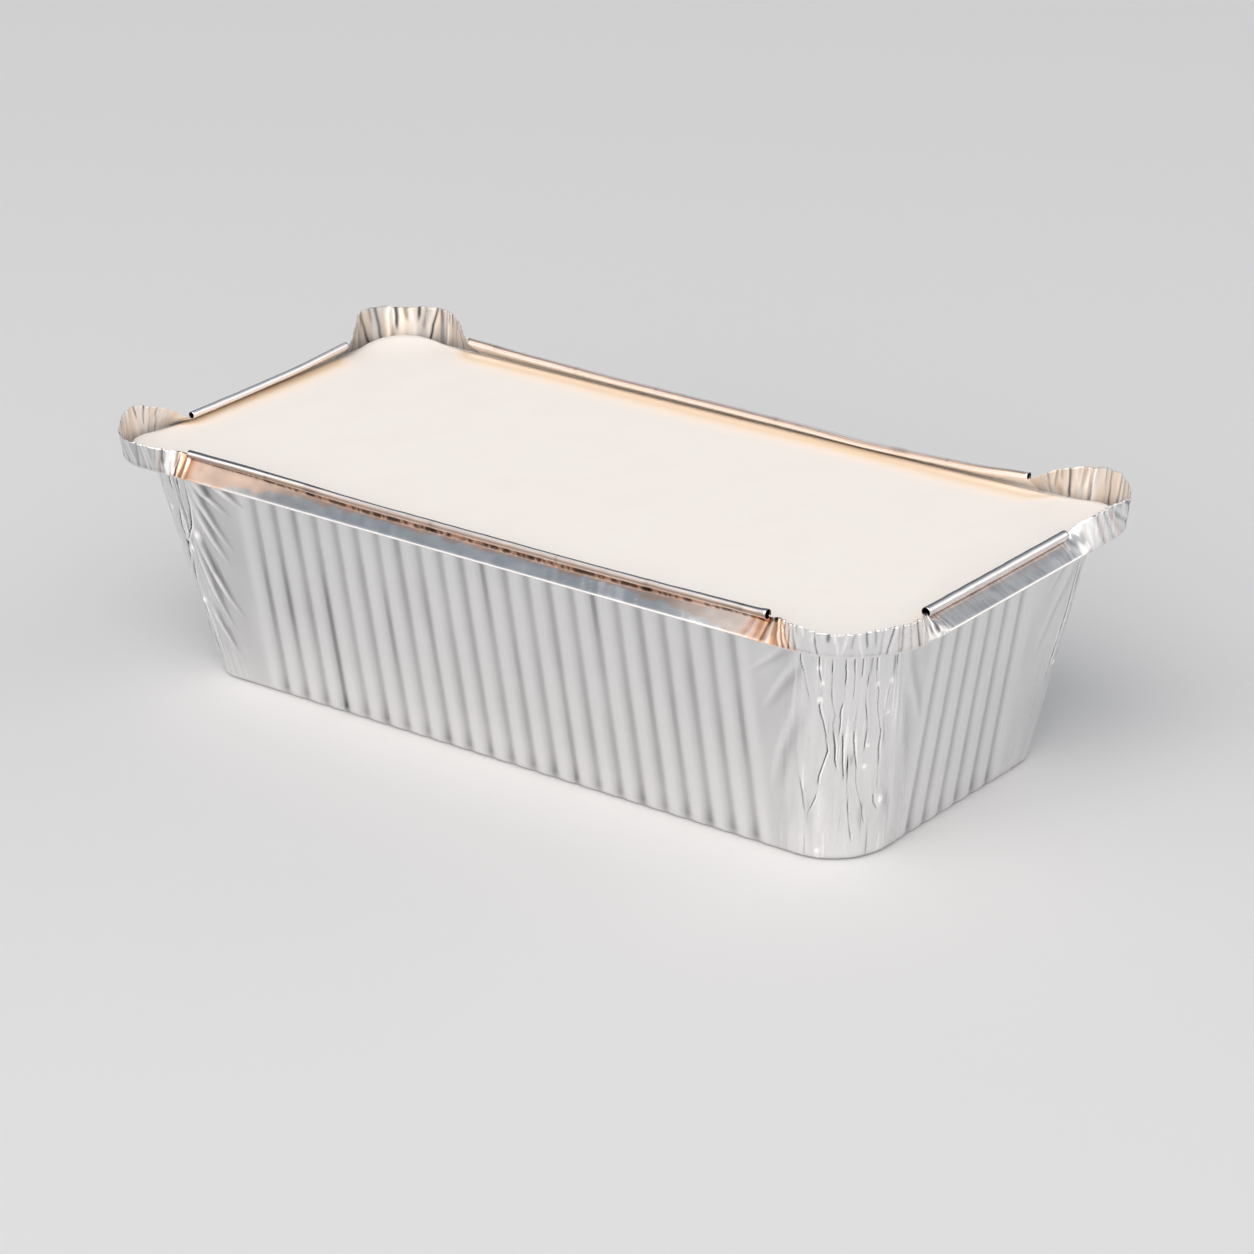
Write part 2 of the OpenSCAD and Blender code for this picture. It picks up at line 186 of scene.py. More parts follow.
class Columns:
    """The columns of the foil, once round. part is 0 before the ribs, 1 in them, 2 after and 3 in a corner.
    at is a place in millimetres in part 1 and a share of the part elsewhere."""

    def __init__(self):
        k, part, at = [], [], []
        for side in range(4):
            edge = RIB_EDGES[side]
            before = spread(-edge - side_start(LEDGE, side), GUSSETS[side][0])
            after = 1 - spread(side_end(LEDGE, side) - edge, GUSSETS[side][1])[:0:-1]
            ribs = [c + s for c in groove_centres(side) for s in RIB_STOPS]
            corner = np.linspace(0, 1, CORNER_CELLS[side], endpoint=False)
            for p, values in enumerate((before, ribs, after, corner)):
                k += [side] * len(values)
                part += [p] * len(values)
                at += list(values)
        self.k, self.part, self.at = np.array(k), np.array(part), np.array(at, float)
        self.n = len(self.k)
        self.corner = self.part == 3
        ribs = [np.flatnonzero((self.k == s) & (self.part == 1)) for s in range(4)]
        self.sides = ribs
        self.corners = [np.arange(ribs[s][-1], ribs[(s + 1) % 4][0] + 1 + self.n * (s == 3)) % self.n
                        for s in range(4)]

    def place(self, o):
        """Place along the side on outline o, in millimetres. It means nothing in a corner."""
        edge = RIB_EDGES[self.k]
        before = mix(side_start(o, self.k), -edge, self.at)
        after = mix(edge, side_end(o, self.k), self.at)
        return np.choose(self.part, [before, self.at, after, np.zeros(self.n)])

    def ring(self, o, out, z):
        """Points on outline o, moved out by out and up to z."""
        facing, along, turn = FACING[self.k], ALONG[self.k], np.radians(90 * self.at)[:, None]
        reach, r = o[(self.k + 1) % 2][:, None], o[2 + self.k][:, None]
        out = np.broadcast_to(out, self.n)[:, None]
        beside = facing * (reach + out) + along * self.place(o)[:, None]
        centre = facing * (reach - r) + along * (half(o, self.k)[:, None] - r)
        spoke = facing * np.cos(turn) + along * np.sin(turn)
        xy = np.where(self.corner[:, None], centre + spoke * (r + out), beside)
        return np.column_stack([xy, np.broadcast_to(z, self.n)])

    def corner_place(self, o):
        """The nearest corner, and the distance from its middle along the wall."""
        u, before, arc = self.place(o), (self.k + 3) % 4, WALL_R * math.pi / 2
        past = u - side_end(o, self.k) - arc[self.k] / 2
        short = u - side_start(o, self.k) + arc[before] / 2
        near = np.where(self.corner | (u > 0), self.k, before)
        return near, np.where(self.corner, (self.at - 0.5) * arc[self.k], np.where(u > 0, past, short))


COLS = Columns()

# Folds pressed into the corners: depth, width, points as (place from the corner's middle, height share)
FRONT_FOLDS = (
    (0.16, 0.18, ((-11.8, 0.98), (-11.3, 0.9), (-10, 0.81), (-8.5, 0.7), (-8.6, 0.66))),
    (0.2, 0.18, ((-7.6, 1), (-7.3, 0.92), (-7.2, 0.86), (-6.3, 0.81), (-6.8, 0.71), (-6, 0.65),
                 (-5.2, 0.58), (-4.6, 0.5), (-5.2, 0.45), (-6, 0.38), (-6.4, 0.27), (-8.4, 0.16))),
    (0.3, 0.17, ((-4.8, 0.96), (-4.5, 0.79), (-4.4, 0.76), (-3.7, 0.67), (-3.9, 0.63), (-3.2, 0.53),
                 (-3.2, 0.46), (-2.5, 0.4), (-1.1, 0.35))),
    (0.2, 0.16, ((-2.2, 0.96), (-2, 0.84), (-1.9, 0.8), (-2, 0.76), (-2.5, 0.7), (-2.6, 0.61),
                 (-2.8, 0.55))),
    (0.26, 0.16, ((-1.9, 0.6), (-1.8, 0.54), (-1.6, 0.45), (-1, 0.34))),
    (0.16, 0.16, ((-0.7, 1), (-0.5, 0.93), (-0.2, 0.8), (-0.4, 0.72))),
    (0.3, 0.17, ((0.7, 0.72), (0.3, 0.63), (0.4, 0.55), (0.7, 0.48), (1.2, 0.41), (1.3, 0.36), (2, 0.29),
                 (3.2, 0.18), (3.8, 0.08))),
    (0.26, 0.16, ((-0.7, 0.5), (-0.3, 0.31), (0.2, 0.18), (0.9, 0.08), (1.4, 0.01))),
    (0.3, 0.17, ((4, 1), (4, 0.9), (4.4, 0.82), (4.8, 0.78), (4.9, 0.68), (6, 0.58), (5.6, 0.5),
                 (5.8, 0.42), (6.1, 0.31), (7.2, 0.24))),
    (0.3, 0.18, ((7.8, 0.82), (7.2, 0.76), (6.7, 0.68), (6.3, 0.62))),
    (0.16, 0.18, ((9.2, 1), (8.9, 0.9), (9, 0.8))),
    (0.24, 0.18, ((5, 0.28), (5.4, 0.23), (6.4, 0.19))),
    (0.1, 0.3, ((-12, 0.52), (-10.6, 0.4), (-9.6, 0.3), (-8.4, 0.18))),
    (0.14, 0.16, ((1.2, 1), (1.2, 0.9), (1.1, 0.84))),
    (0.14, 0.16, ((2.6, 0.9), (2.2, 0.74), (2.9, 0.6), (2.4, 0.46))),
)
LEFT_FOLDS = (
    (0.4, 0.26, ((11.6, 1), (10.4, 0.93), (10, 0.88), (9.6, 0.8), (8.6, 0.74), (8, 0.7), (6, 0.64),
                 (5.4, 0.56), (3.8, 0.43), (3.9, 0.3), (4, 0.2), (3.4, 0.08))),
    (0.26, 0.2, ((8.6, 0.98), (8, 0.88), (7.4, 0.8), (7.6, 0.72), (5.2, 0.6), (3.6, 0.5))),
    (0.24, 0.2, ((6.6, 1), (6, 0.9), (6.3, 0.8), (5.2, 0.7), (5.4, 0.62), (3.6, 0.42))),
    (0.22, 0.2, ((3.4, 0.98), (2.8, 0.85), (3.2, 0.76), (2, 0.62), (2.4, 0.5), (1.2, 0.36))),
    (0.2, 0.18, ((0.6, 1), (0.2, 0.84), (0.9, 0.7), (-0.4, 0.52))),
    (0.22, 0.2, ((-3, 1), (-2.6, 0.84), (-3.2, 0.66), (-2, 0.5), (-2.4, 0.3))),
    (0.22, 0.2, ((-6.4, 0.96), (-5.4, 0.8), (-5.6, 0.64), (-4.2, 0.44))),
    (0.18, 0.2, ((2.2, 0.4), (2.6, 0.28), (1.8, 0.14), (2, 0.04))),
)
# Soft folds in the plain wall beside the corners, by corner: height, width, then points as above.
DRAPES = (
    ((0.16, 1.5, ((-11, 1), (-12.5, 0.9), (-16, 0.78), (-20, 0.62))),
     (0.12, 1.3, ((-14, 1), (-17, 0.92), (-20, 0.86), (-24, 0.78))),
     (0.14, 1.6, ((-10.5, 0.8), (-13, 0.62), (-15.5, 0.44), (-16.5, 0.25))),
     (0.14, 1.4, ((10.8, 0.98), (13, 0.8), (16, 0.64), (18.6, 0.48))),
     (0.12, 1.5, ((10.5, 0.72), (12, 0.55), (13, 0.3))),
     (-0.2, 1.6, ((-9, 0.34), (-8, 0.24), (-7.6, 0.14), (-7, 0.04))),
     (0.2, 1.3, ((5.2, 0.3), (6.6, 0.24), (7.6, 0.14)))),
    ((0.14, 1.3, ((-7.5, 0.98), (-9.5, 0.85), (-12.5, 0.7), (-15, 0.5))),
     (0.12, 1.4, ((-9.5, 1), (-13, 0.9), (-17, 0.78))),
     (0.16, 0.9, ((-5.4, 1), (-6.2, 0.8), (-5.6, 0.55), (-5.8, 0.3))),
     (0.14, 1.4, ((8, 0.98), (11, 0.8), (15, 0.55)))),
    ((0.16, 1.3, ((-7.5, 1), (-10, 0.84), (-14, 0.6), (-16, 0.4))),
     (0.13, 1.4, ((-11, 1), (-15, 0.86), (-19, 0.72))),
     (0.14, 1.4, ((8, 0.98), (10.5, 0.8), (14, 0.55)))),
    ((0.5, 1.4, ((11.9, 1), (13.2, 0.94), (14.7, 0.88), (17.4, 0.85), (20.2, 0.81))),
     (0.5, 1.6, ((17, 1), (19.3, 0.94), (22.4, 0.9), (25.4, 0.87))),
     (0.42, 1, ((11.2, 0.98), (12, 0.91), (12.8, 0.83), (15.2, 0.73), (18.4, 0.63))),
     (0.4, 0.9, ((10.6, 0.86), (11.4, 0.76), (13.2, 0.66), (16, 0.56))),
     (0.5, 0.8, ((8.6, 0.72), (9, 0.62), (10.2, 0.5), (12.6, 0.38), (15.4, 0.3))),
     (0.4, 0.7, ((7.6, 0.66), (7.8, 0.54), (8.4, 0.42), (9.8, 0.3), (11.4, 0.22))),
     (0.36, 0.7, ((5.4, 0.36), (6.6, 0.26), (8.4, 0.17), (9.8, 0.1))),
     (0.14, 1.4, ((-8, 0.98), (-11, 0.8), (-14.5, 0.55)))),
)
# Spots of the crumpled corners that catch the light, each a small bump with a painted highlight, by corner:
# place, share of the height, size.
GLINTS = (
    ((-7.3, 0.89, 0.5), (-6.4, 0.82, 0.4), (-6.7, 0.74, 0.55), (4.4, 0.81, 0.4), (7.6, 0.81, 0.5),
     (7.4, 0.66, 0.4), (6.9, 0.24, 0.7), (2.8, 0.42, 0.45), (-5.4, 0.01, 0.5), (3.3, 0.52, 0.35),
     (-1, 0.95, 0.35), (0.9, 0.95, 0.35)),
    ((-4.6, 0.7, 0.4), (-5, 0.42, 0.45), (1.6, 0.84, 0.4), (4.2, 0.6, 0.4)),
    ((-3.6, 0.82, 0.45), (1.2, 0.5, 0.4), (4.6, 0.88, 0.45)),
    ((9.2, 0.67, 0.75), (6.6, 0.6, 0.4), (4.6, 0.34, 0.45), (2.6, 0.86, 0.4), (3.9, 0.78, 0.35),
     (2.2, 0.6, 0.35)),
)


def random_folds(seed, count, spread_mm):
    rng, folds = np.random.default_rng(seed), []
    for i in range(count):
        c = spread_mm * ((i + 0.5) / count * 2 - 1) + rng.uniform(-0.4, 0.4)
        top, low = rng.choice([1.0, 1.0, 0.85, 0.7]), rng.uniform(0.02, 0.6)
        stops = np.linspace(top, min(low, top - 0.25), rng.integers(4, 8))
        drift = np.cumsum(rng.uniform(-0.5, 0.5, len(stops)))
        points = tuple((c * mix(1.0, 0.8, 1 - h) + w, h) for h, w in zip(stops, drift))
        folds.append((rng.uniform(0.12, 0.26), rng.uniform(0.18, 0.26), points))
    return tuple(folds)


FOLDS = (FRONT_FOLDS, random_folds(5, 11, 6.5), random_folds(8, 11, 6.5), LEFT_FOLDS)


def line_at(points, h):
    """Place of a fold at each height, and how far along it that is, from 0 to 1 and beyond."""
    ps = np.array(points)[::-1]
    line = np.interp(h, ps[:, 1], ps[:, 0])
    way = (h - ps[0, 1]) / (ps[-1, 1] - ps[0, 1])
    return line, way


def fold_profile(x, width):
    """A sharp groove with a raised lip on each side."""
    groove = -np.clip(1 - abs(x) / width, 0, 1)
    lips = 0.5 * bell(x - 1.9 * width, 1.1 * width) + 0.35 * bell(x + 2.1 * width, 1.3 * width)
    return groove, lips


def sharp_fold(c, h, k, depth, width, points):
    """Move of a sharp fold of corner k at height share h, and its tone: painted shade in the crease and a
    painted highlight beside it.
    """
    line, way = line_at(points, h)
    if not -0.001 <= way <= 1.001:
        return 0, 0
    fade = float(smooth(way * 6 + 0.05))
    if points[0][1] < 0.97:
        fade *= float(smooth((1 - way) * 6 + 0.05))
    x = c - line - 0.09 * noise(h * 22, depth * 90, 17)
    groove, lips = fold_profile(x, width)
    broken = np.clip(0.7 + 1.2 * noise(h * 13, depth * 70 + k, 18), 0.1, 1.3)
    dark = fade * min(1.8, depth / 0.12) * broken
    return depth * fade * (groove + lips), dark * (-groove - 0.4 * bell(x - 2 * width, 0.8 * width))


def soft_fold(c, h, height, width, points):
    """Move of a drape at height share h, and its tone: a painted highlight on it and painted shade beside it.
    """
    line, way = line_at(points, h)
    fade = float(smooth(1 - abs(way - 0.5) * 2)) ** 0.5 if 0 < way < 1 else 0
    x = (c - line) / width
    x = x / (0.9 + 0.8 * way)
    move = height * fade * (bell(x, 0.8) - 0.6 * bell(x - 1.5, 0.9))
    return move, 1.3 * height * fade * (bell(x - 1.1, 0.6) - bell(x, 0.4))


def glint_spot(c, h, place, height, size):
    """Move of a spot that catches the light, and its tone: a painted highlight."""
    spot = bell(np.hypot(c - place, (h - height) * DETAIL_H / 1.3), size)
    return 0.25 * spot, -1.1 * spot


def fold_field(c, h, near):
    """How far the folds move the wall at height share h, and its tone: 1 painted shade in a crease, -1 a
    painted glint.
    """
    move, tone = np.zeros_like(c), np.zeros_like(c)
    for k in range(4):
        marks = [sharp_fold(c, h, k, *fold) for fold in FOLDS[k]]
        marks += [soft_fold(c, h, *fold) for fold in DRAPES[k]]
        marks += [glint_spot(c, h, *spot) for spot in GLINTS[k]]
        for moved, shade in marks:
            move += np.where(near == k, moved, 0)
            tone += np.where(near == k, shade, 0)
    return move, np.clip(tone, -1, 1)


def groove_distance(u):
    """Distance of each column from the middle of its groove, and far where there is none."""
    d = np.full(COLS.n, 2 * RIB_PITCH)
    for side in range(4):
        m = (COLS.k == side) & (COLS.part == 1)
        d[m] = abs(u[m][:, None] - groove_centres(side)[None]).min(1)
    return d


# The wall and base
def wall_rows(cells):
    """Rows from the base's rim up: outline, height, detail share, inward direction, height share."""
    lean = math.atan2((END_TAPER + SIDE_TAPER) / 2, LEDGE_H - FOOT_R)
    normal = np.array([-math.cos(lean), math.sin(lean)])
    rows = []
    for t in np.linspace(0, 1, FOOT_ROWS + 1):
        turn = math.radians(90 * t)
        direction = mix(np.array([-math.sin(turn), math.cos(turn)]), normal, t)
        inset, rise = FOOT_R * (1 - math.sin(turn)), FOOT_R * (1 - math.cos(turn))
        rows.append((WALL_FOOT - inset, rise, t, direction, 0.0))
    for h in np.linspace(0, 1, cells + 1)[1:]:
        direction = normal if h < 1 else (normal + [0, 1]) / (1 + normal[1])
        rows.append((mix(WALL_FOOT, WALL_TOP, h), mix(FOOT_R, LEDGE_H, h), 1.0, direction, h))
    return rows


# Painted highlight that lightens the plain wall, by side
SIDE_LIGHT = np.array((0.05, 0.14, 0.05, 0.05))     # glint of the plain wall, by side


def fine_creases(c, z, near, seed):
    """Thin broken lines down a crumpled corner, 0 to 1."""
    line = noise(c / 0.9 + 0.25 * noise(z / 6, 5.3 * near, seed), z / 45 + 13 * near, seed + 1)
    broken = np.clip(-0.1 + 1.6 * noise(c / 1.6, z / 9 + 3 * near, seed + 2), 0, 1)
    return bell(line, 0.09) * broken


def crumple(move, c, z, near, zone):
    """Outward move of the crumpled foil round its folds, which have move already."""
    ripple = 0.07 * noise(c / 1.1 + 30 * near, z / 9, 3) + 0.12 * noise(c / 2.8, z / 14 + 9 * near, 4)
    facets = 0.1 * abs(noise(c / 1.7 + z / 21, z / 5 + 7 * near, 5))
    return move + (ripple - facets) * zone + 0.14 * noise(c / 7 + 40 * near, z / 17, 6)


def rib_tone(u, d, h):
    """Painted shade in the grooves: each has a thin painted dark line down it, strong in some, and is darker
    at the foot.
    """
    z = h * DETAIL_H
    ribs = 0.34 * bell(d, 1.5) * (1 + 0.2 * noise(u / RIB_PITCH, z / 11, 8))
    line = np.clip(noise(u / RIB_PITCH + 40, z / 24, 59) - 0.3, 0, 1)
    return (ribs + (0.12 + 0.7 * line) * bell(d, 0.4)) * (1 + 0.5 * bell(h, 0.04))


def wall_detail(o, h, share):
    """Outward move of a row of the wall, its tone of painted light and shade, and how glossy it is."""
    near, c = COLS.corner_place(o)
    u, z = COLS.place(o), h * DETAIL_H
    d = groove_distance(u)
    beyond = np.clip(abs(c) - WALL_R[near] * 0.72, 0, None)
    zone = bell(beyond, 4.5)
    fade = np.where(COLS.corner, 1, smooth((abs(u) - RIB_EDGES[COLS.k]) / 3))
    move, tone = fold_field(c, h, near)
    groove = smooth((GROOVE_FLOOR / 2 + GROOVE_FLANK - d) / GROOVE_FLANK)
    out = -GROOVE_DEPTH * groove + fade * crumple(move, c, z, near, zone)
    # Painted shade and painted highlights along fine creases in the corners, painted light on the plain wall,
    # and painted shade under the ledge at the wall's top
    dark, light = fine_creases(c, z, near, 61), fine_creases(c, z, near, 71)
    shade = 0.6 * dark - 0.7 * light - 0.1 * (near == 0)
    tone = tone + bell(beyond, 3.0) * shade - SIDE_LIGHT[COLS.k] * smooth(beyond / 4)
    tone = tone + 0.4 * smooth((h - 0.985) / 0.01)
    # Painted streaks of light and shade down the corners, painted shade on the plain wall, and painted shade
    # in the grooves
    streaks = 0.1 * noise(c / 0.6 + 3 * near, z / 15, 9) + 0.07 * noise(c / 0.32, z / 7 + near, 10)
    plain = 0.16 * smooth(beyond / 4) * (1 + 0.4 * noise(c / 5, z / 15, 7))
    tone = tone + streaks * zone + plain * np.where(COLS.part == 1, 0, fade) + rib_tone(u, d, h)
    return share * out, share * tone, smooth(1.3 - beyond / 7) * fade


def wall_skins(cells):
    """Outer and inner points of every row, with their tone of painted light and shade, and their gloss."""
    outer, inner, tones, gloss = [], [], [], []
    for o, z, share, direction, h in wall_rows(cells):
        out, tone, shine = wall_detail(o, h, share)
        outer.append(COLS.ring(o, out, z))
        inner.append(COLS.ring(o, out + direction[0] * FOIL, z + direction[1] * FOIL))
        tones.append(tone)
        gloss.append(shine)
    return np.array(outer), np.array(inner), np.array(tones), np.array(gloss)


BASE_INSETS, BASE_LEAST_R = (3.0, 8.0, 17.0, 26.0), 1.5


def base_rings(z):
    """Rings from the middle of the base to its rim."""
    rim = WALL_FOOT - FOOT_R
    rings = []
    for inset in BASE_INSETS[::-1] + (0.0,):
        o = rim.copy()
        o[:2] -= inset
        o[2:] = np.maximum(o[2:] - inset, BASE_LEAST_R) if inset else rim[2:]
        rings.append(COLS.ring(o, 0, z))
    return np.array(rings)


# The rim
def spline(t, values):
    """A smooth line through evenly spaced values."""
    v = np.array(values, float)
    i = np.clip(np.floor(t).astype(int), 0, len(v) - 2)
    f = t - i
    p = [v[np.clip(i + j, 0, len(v) - 1)] for j in (-1, 0, 1, 2)]
    a, b = (p[2] - p[0]) / 2, (p[3] - p[1]) / 2
    first = ((2 * f - 3) * f * f + 1) * p[1] + ((f - 2) * f + 1) * f * a
    return first + (3 - 2 * f) * f * f * p[2] + (f - 1) * f * f * b


def rim_stations():
    """Each column's place, whether it is on a bead, and the flange's slope and length."""
    u, (near, _) = COLS.place(LEDGE), COLS.corner_place(LEDGE)
    after, start, end = (near + 1) % 4, *bead_span(COLS.k)
    on = ~COLS.corner & (u > start - 1e-6) & (u < end + 1e-6)
    arc, gusset = LEDGE[2 + near] * math.pi / 2, GUSSETS[near, 1]
    beside = np.where(u > 0, u - end, gusset + arc + u - side_start(LEDGE, after))
    way = np.where(COLS.corner, gusset + arc * COLS.at, beside) / (gusset + arc + GUSSETS[after, 0])
    slope, length = np.zeros(COLS.n), np.full(COLS.n, FLANGE_W)
    for k in range(4):
        m = on & (COLS.k == k)
        x, y = np.array(BEAD_SLOPES[k], float).T
        slope[m] = sum(np.interp(u[m] + d, x, y) for d in (-4, -2, 0, 2, 4)) / 5
        m = ~on & (near == k)
        t = way[m] * (len(CORNER_SLOPES[k]) - 1)
        slope[m], length[m] = spline(t, CORNER_SLOPES[k]), spline(t, CORNER_LENGTHS[k])
    return u, on, slope, length


def flange_creases(seed, count, first, last):
    """Creases of a standing flange between two places: place, lean, foot share, depth, width, tone of the
    shade painted in the crease, negative for a painted highlight.
    """
    rng = np.random.default_rng(seed)
    places = first + (last - first) * (np.arange(count) + rng.uniform(0.1, 0.9, count)) / count
    return [(p, rng.normal(0, 0.5), rng.choice([0.0, 0.0, 0.25, 0.5]), rng.uniform(0.08, 0.26),
             rng.uniform(0.2, 0.4), rng.choice([0.9, 0.6, 0.35, -0.5])) for p in places]


def corner_ends(k):
    """Places of the beads' ends on both sides of corner k, from its middle."""
    arc = WALL_R[k] * math.pi / 4
    return -arc - GUSSETS[k, 1], arc + GUSSETS[(k + 1) % 4, 0]


CREASE_COUNTS = (30, 26, 30, 26)
CREASES = [flange_creases(60 + k, CREASE_COUNTS[k], *corner_ends(k)) for k in range(4)]


def crinkle(share, near, c, standing):
    """Outward wave of the standing flange at a share of its height, and its tone: a faint random tone, with
    painted shade and painted highlights in the creases.
    """
    broad = 0.7 * noise(c / 2.3 + 17 * near, 0.9 * share, 14)
    sharp = 0.5 - abs(noise(c / 1.25 + 11 * near, 0.8 * share, 15))
    wave, tone = 0.34 * broad + 0.34 * sharp, 0.12 * noise(c / 0.5 + 7 * near, 1.2 * share, 16)
    for k, creases in enumerate(CREASES):
        m = near == k
        for place, lean, foot, depth, width, shade in creases:
            fade = smooth((share - foot) / 0.3 + 0.4 * (foot == 0))
            x = c - place - lean * (share - 0.5) - 0.1 * noise(share * 4, place, 19)
            groove, lips = fold_profile(x, width)
            wave = wave + np.where(m, depth * 1.6 * fade * (groove + lips), 0)
            tone = tone - np.where(m, shade * fade * (groove + 0.35 * lips), 0)
    return (0.25 + 0.75 * share) * wave * standing, tone * standing


# Folds round each corner's flange, with painted light and shade and painted warm reflections: how far
# from the bead's end, tone and warmth, from the side that ends there and then from the side that starts there
FAN = ((-3, 0, 0), (-1, 0.3, 0.3), (0, -0.3, 0.2), (1.2, 0.5, 0.4), (2.4, -0.4, 0.2), (4, 0.4, 0.2),
       (6, 0, 0))
STRIPES = (
    (((-5, 0, 0), (-4.2, 0.1, 0.6), (-3.4, 0.35, 1.2), (-2.6, -0.2, 0.8), (-1.9, 0.15, 1.6),
      (-1.2, 0.7, 1.8), (-0.5, 0.1, 1.6), (0.3, 0.5, 1.8), (1.1, -0.1, 1.4), (1.9, -0.6, 0.8),
      (2.5, 0.2, 1.6), (3.1, 0.95, 1.8), (3.8, 0.3, 1.6), (4.2, -0.5, 0.8), (4.8, 0.9, 1.6),
      (5.4, -0.6, 0.5), (6, 0.75, 1.2), (6.6, -0.2, 0.6), (7.2, 0.2, 0.4), (7.8, 0, 0)),
     ((-4.6, 0, 0), (-4, 0.4, 0), (-3.3, -0.9, 0.1), (-2.7, 0.8, 0), (-2, -1, 0.1), (-1.4, 0.5, 0),
      (-0.8, -1, 0.1), (-0.2, 0.9, 0.1), (0.4, -0.8, 0), (1, 0.3, 0), (2, 0, 0))),
    (((-3, 0, 0), (-2.4, 0.35, 0), (-2, -0.5, 0), (-1.2, 0.2, 0), (-0.4, -0.5, 0), (0.7, 0.25, 0),
      (1.6, -0.4, 0), (2.5, -0.1, 0), (3.2, 0.3, 0), (4.3, -0.9, 0), (6.4, -0.9, 0), (7.5, 0.3, 0.3),
      (8.6, -0.8, 0), (10, -0.2, 0), (10.4, 0.55, 0), (11.2, -0.8, 0), (12.5, 0.15, 0.3),
      (13.6, -0.2, 0), (14.6, 0.6, 0), (15.5, -0.3, 0), (17.1, 0.2, 0), (18, 0.1, 0), (18.5, 1, 0),
      (19, 0.9, 0), (19.5, -0.3, 0), (21, 0, 0)),
     FAN),
    (FAN,
     ((-3, 0, 0), (-1, 0.3, 0.2), (0, -0.4, 0.2), (1.4, 0.5, 0.2), (2.6, -0.5, 0.1), (4, 0.3, 0.1),
      (6, 0, 0))),
    (((-3, 0, 0), (-1.4, -0.4, 0.2), (0, 0.5, 0.2), (1, -0.4, 0.2), (2.2, 0.5, 0.3), (3.6, -0.5, 0),
      (5, 0, 0)),
     ((-2.5, 0, 0), (-1.2, 0.1, 0.8), (-0.6, 0.5, 1.2), (-0.1, 0.3, 1.1), (0.3, -0.3, 0.6),
      (0.75, 0.6, 1.6), (1.2, 0.9, 1.8), (1.65, 0.6, 1.5), (2, -0.5, 0.6), (2.4, 0.8, 0.9),
      (2.7, 0.6, 0.5), (3.1, -0.9, 0), (3.4, 0.1, 0.2), (3.8, -1, 0), (4.6, -1, 0), (5.1, 0.5, 0.1),
      (5.5, -0.2, 0), (6.1, 0.4, 0.3), (6.8, -0.2, 0.1), (8, 0, 0))),
)


def gusset_wave(share, near, c, turning):
    """Folds that fan out where the flange turns from standing to folded: outward wave, tone of painted light
    and shade, and warmth of painted warm reflections.
    """
    after, (first, last) = c > 0, corner_ends(near)
    past = np.where(after, last - c, c - first)
    fan = np.where((near == 3) & after, 0.1, 0.42)
    place = past / (1 + fan * (0.43 - share)) + 0.25 * noise(share * 3, c / 4, 23)
    tone, warm = np.zeros_like(c), np.zeros_like(c)
    for k, lists in enumerate(STRIPES):
        for side, stripes in enumerate(lists):
            m = (near == k) & (after == bool(side))
            x, t, w = np.array(stripes, float).T
            tone = np.where(m, np.interp(place, x, t), tone)
            warm = np.where(m, np.interp(place, x, w), warm)
    ridge = 1 - 2 * abs(noise(place / 1.15 + 5 * near + 9 * after, 0.3 * share, 21))
    wave = turning * (0.15 + 0.85 * share) * 0.22 * ridge - 0.32 * tone * (0.4 + 0.6 * share)
    return wave, tone * (0.8 + 0.3 * noise(place / 0.4, 2 * share, 24)), warm


# Share of the front flange's width that is steel grey, above which a warm reflection is painted, along the
# side
GREY_SHARE = ((-75, 0), (-68, 0.02), (-60, 0.22), (-50, 0.42), (-36, 0.56), (0, 0.6), (30, 0.58), (50, 0.5),
              (58, 0.3), (66, 0.1), (73, 0))
# The front flange's painted slate reflection, and where its ends start, whose fold gets a painted warm
# reflection and little painted glint
SLATE_AT, SLATE_REACH, FRONT_ENDS, ENDS_FADE = -52, 10, 56, 12
# Gaps in the dark line of painted shade under the front bead: degrees round the roll, length and tone
GAP_TURN, GAP_LENGTH, GAP_TONE = 275, 0.5, 0.6
# Streaks of painted reflection and shade round each bead, by side: degrees round the roll, tone and warmth
BEAD_STREAKS = (
    ((100, 0.5, 0), (143, 0.6, 0), (156, 0.9, 0), (167, 0.1, 0), (182, -1, 0.4), (195, -0.3, 0.6),
     (208, 0.4, 0.5), (220, 0.55, 0.5), (233, 0.62, 0.75), (246, 0.5, 0.7), (259, 0.15, 0.55),
     (272, 0.4, 0.5), (284, 0.75, 0.5), (297, 0.9, 0.4), (310, 0.9, 0.4)),
    ((100, 0.7, 0), (128, 0.85, 0), (140, 0.8, 0), (153, 0.3, 0), (166, -0.2, 0), (179, -0.7, 0),
     (192, -0.8, 0), (204, -0.1, 0), (217, 0.25, 0.05), (230, -0.05, 0.1), (243, 0, 0.3),
     (256, 0.1, 0.45), (268, 0.25, 0.5), (300, 0.5, 0.5)),
    ((0, -0.5, 0.8), (25, -0.9, 0.8), (38, -0.9, 0.8), (51, -0.8, 0.8), (63, -0.5, 0.7), (76, -0.2, 0.7),
     (89, 0.35, 0.8), (101, 0.5, 0.8), (114, 0, 0.6), (127, -0.5, 0.6), (139, -0.8, 0.7),
     (152, -0.9, 0.6), (165, -0.4, 0.4), (177, 0.4, 0.2), (200, 0.2, 0.1), (300, 0.3, 0.1)),
    ((10, -0.1, 0.6), (41, -0.2, 0.5), (62, -0.3, 0.3), (79, -0.3, 0.15), (95, -0.5, 0),
     (129, -0.5, 0), (146, 0, 0), (163, 0.5, 0), (200, 0.2, 0.1), (300, 0.3, 0.1)),
)


def front_ends(u):
    """1 at both ends of the front side and 0 elsewhere."""
    return (COLS.k == 0) * smooth((abs(u) - FRONT_ENDS) / ENDS_FADE)


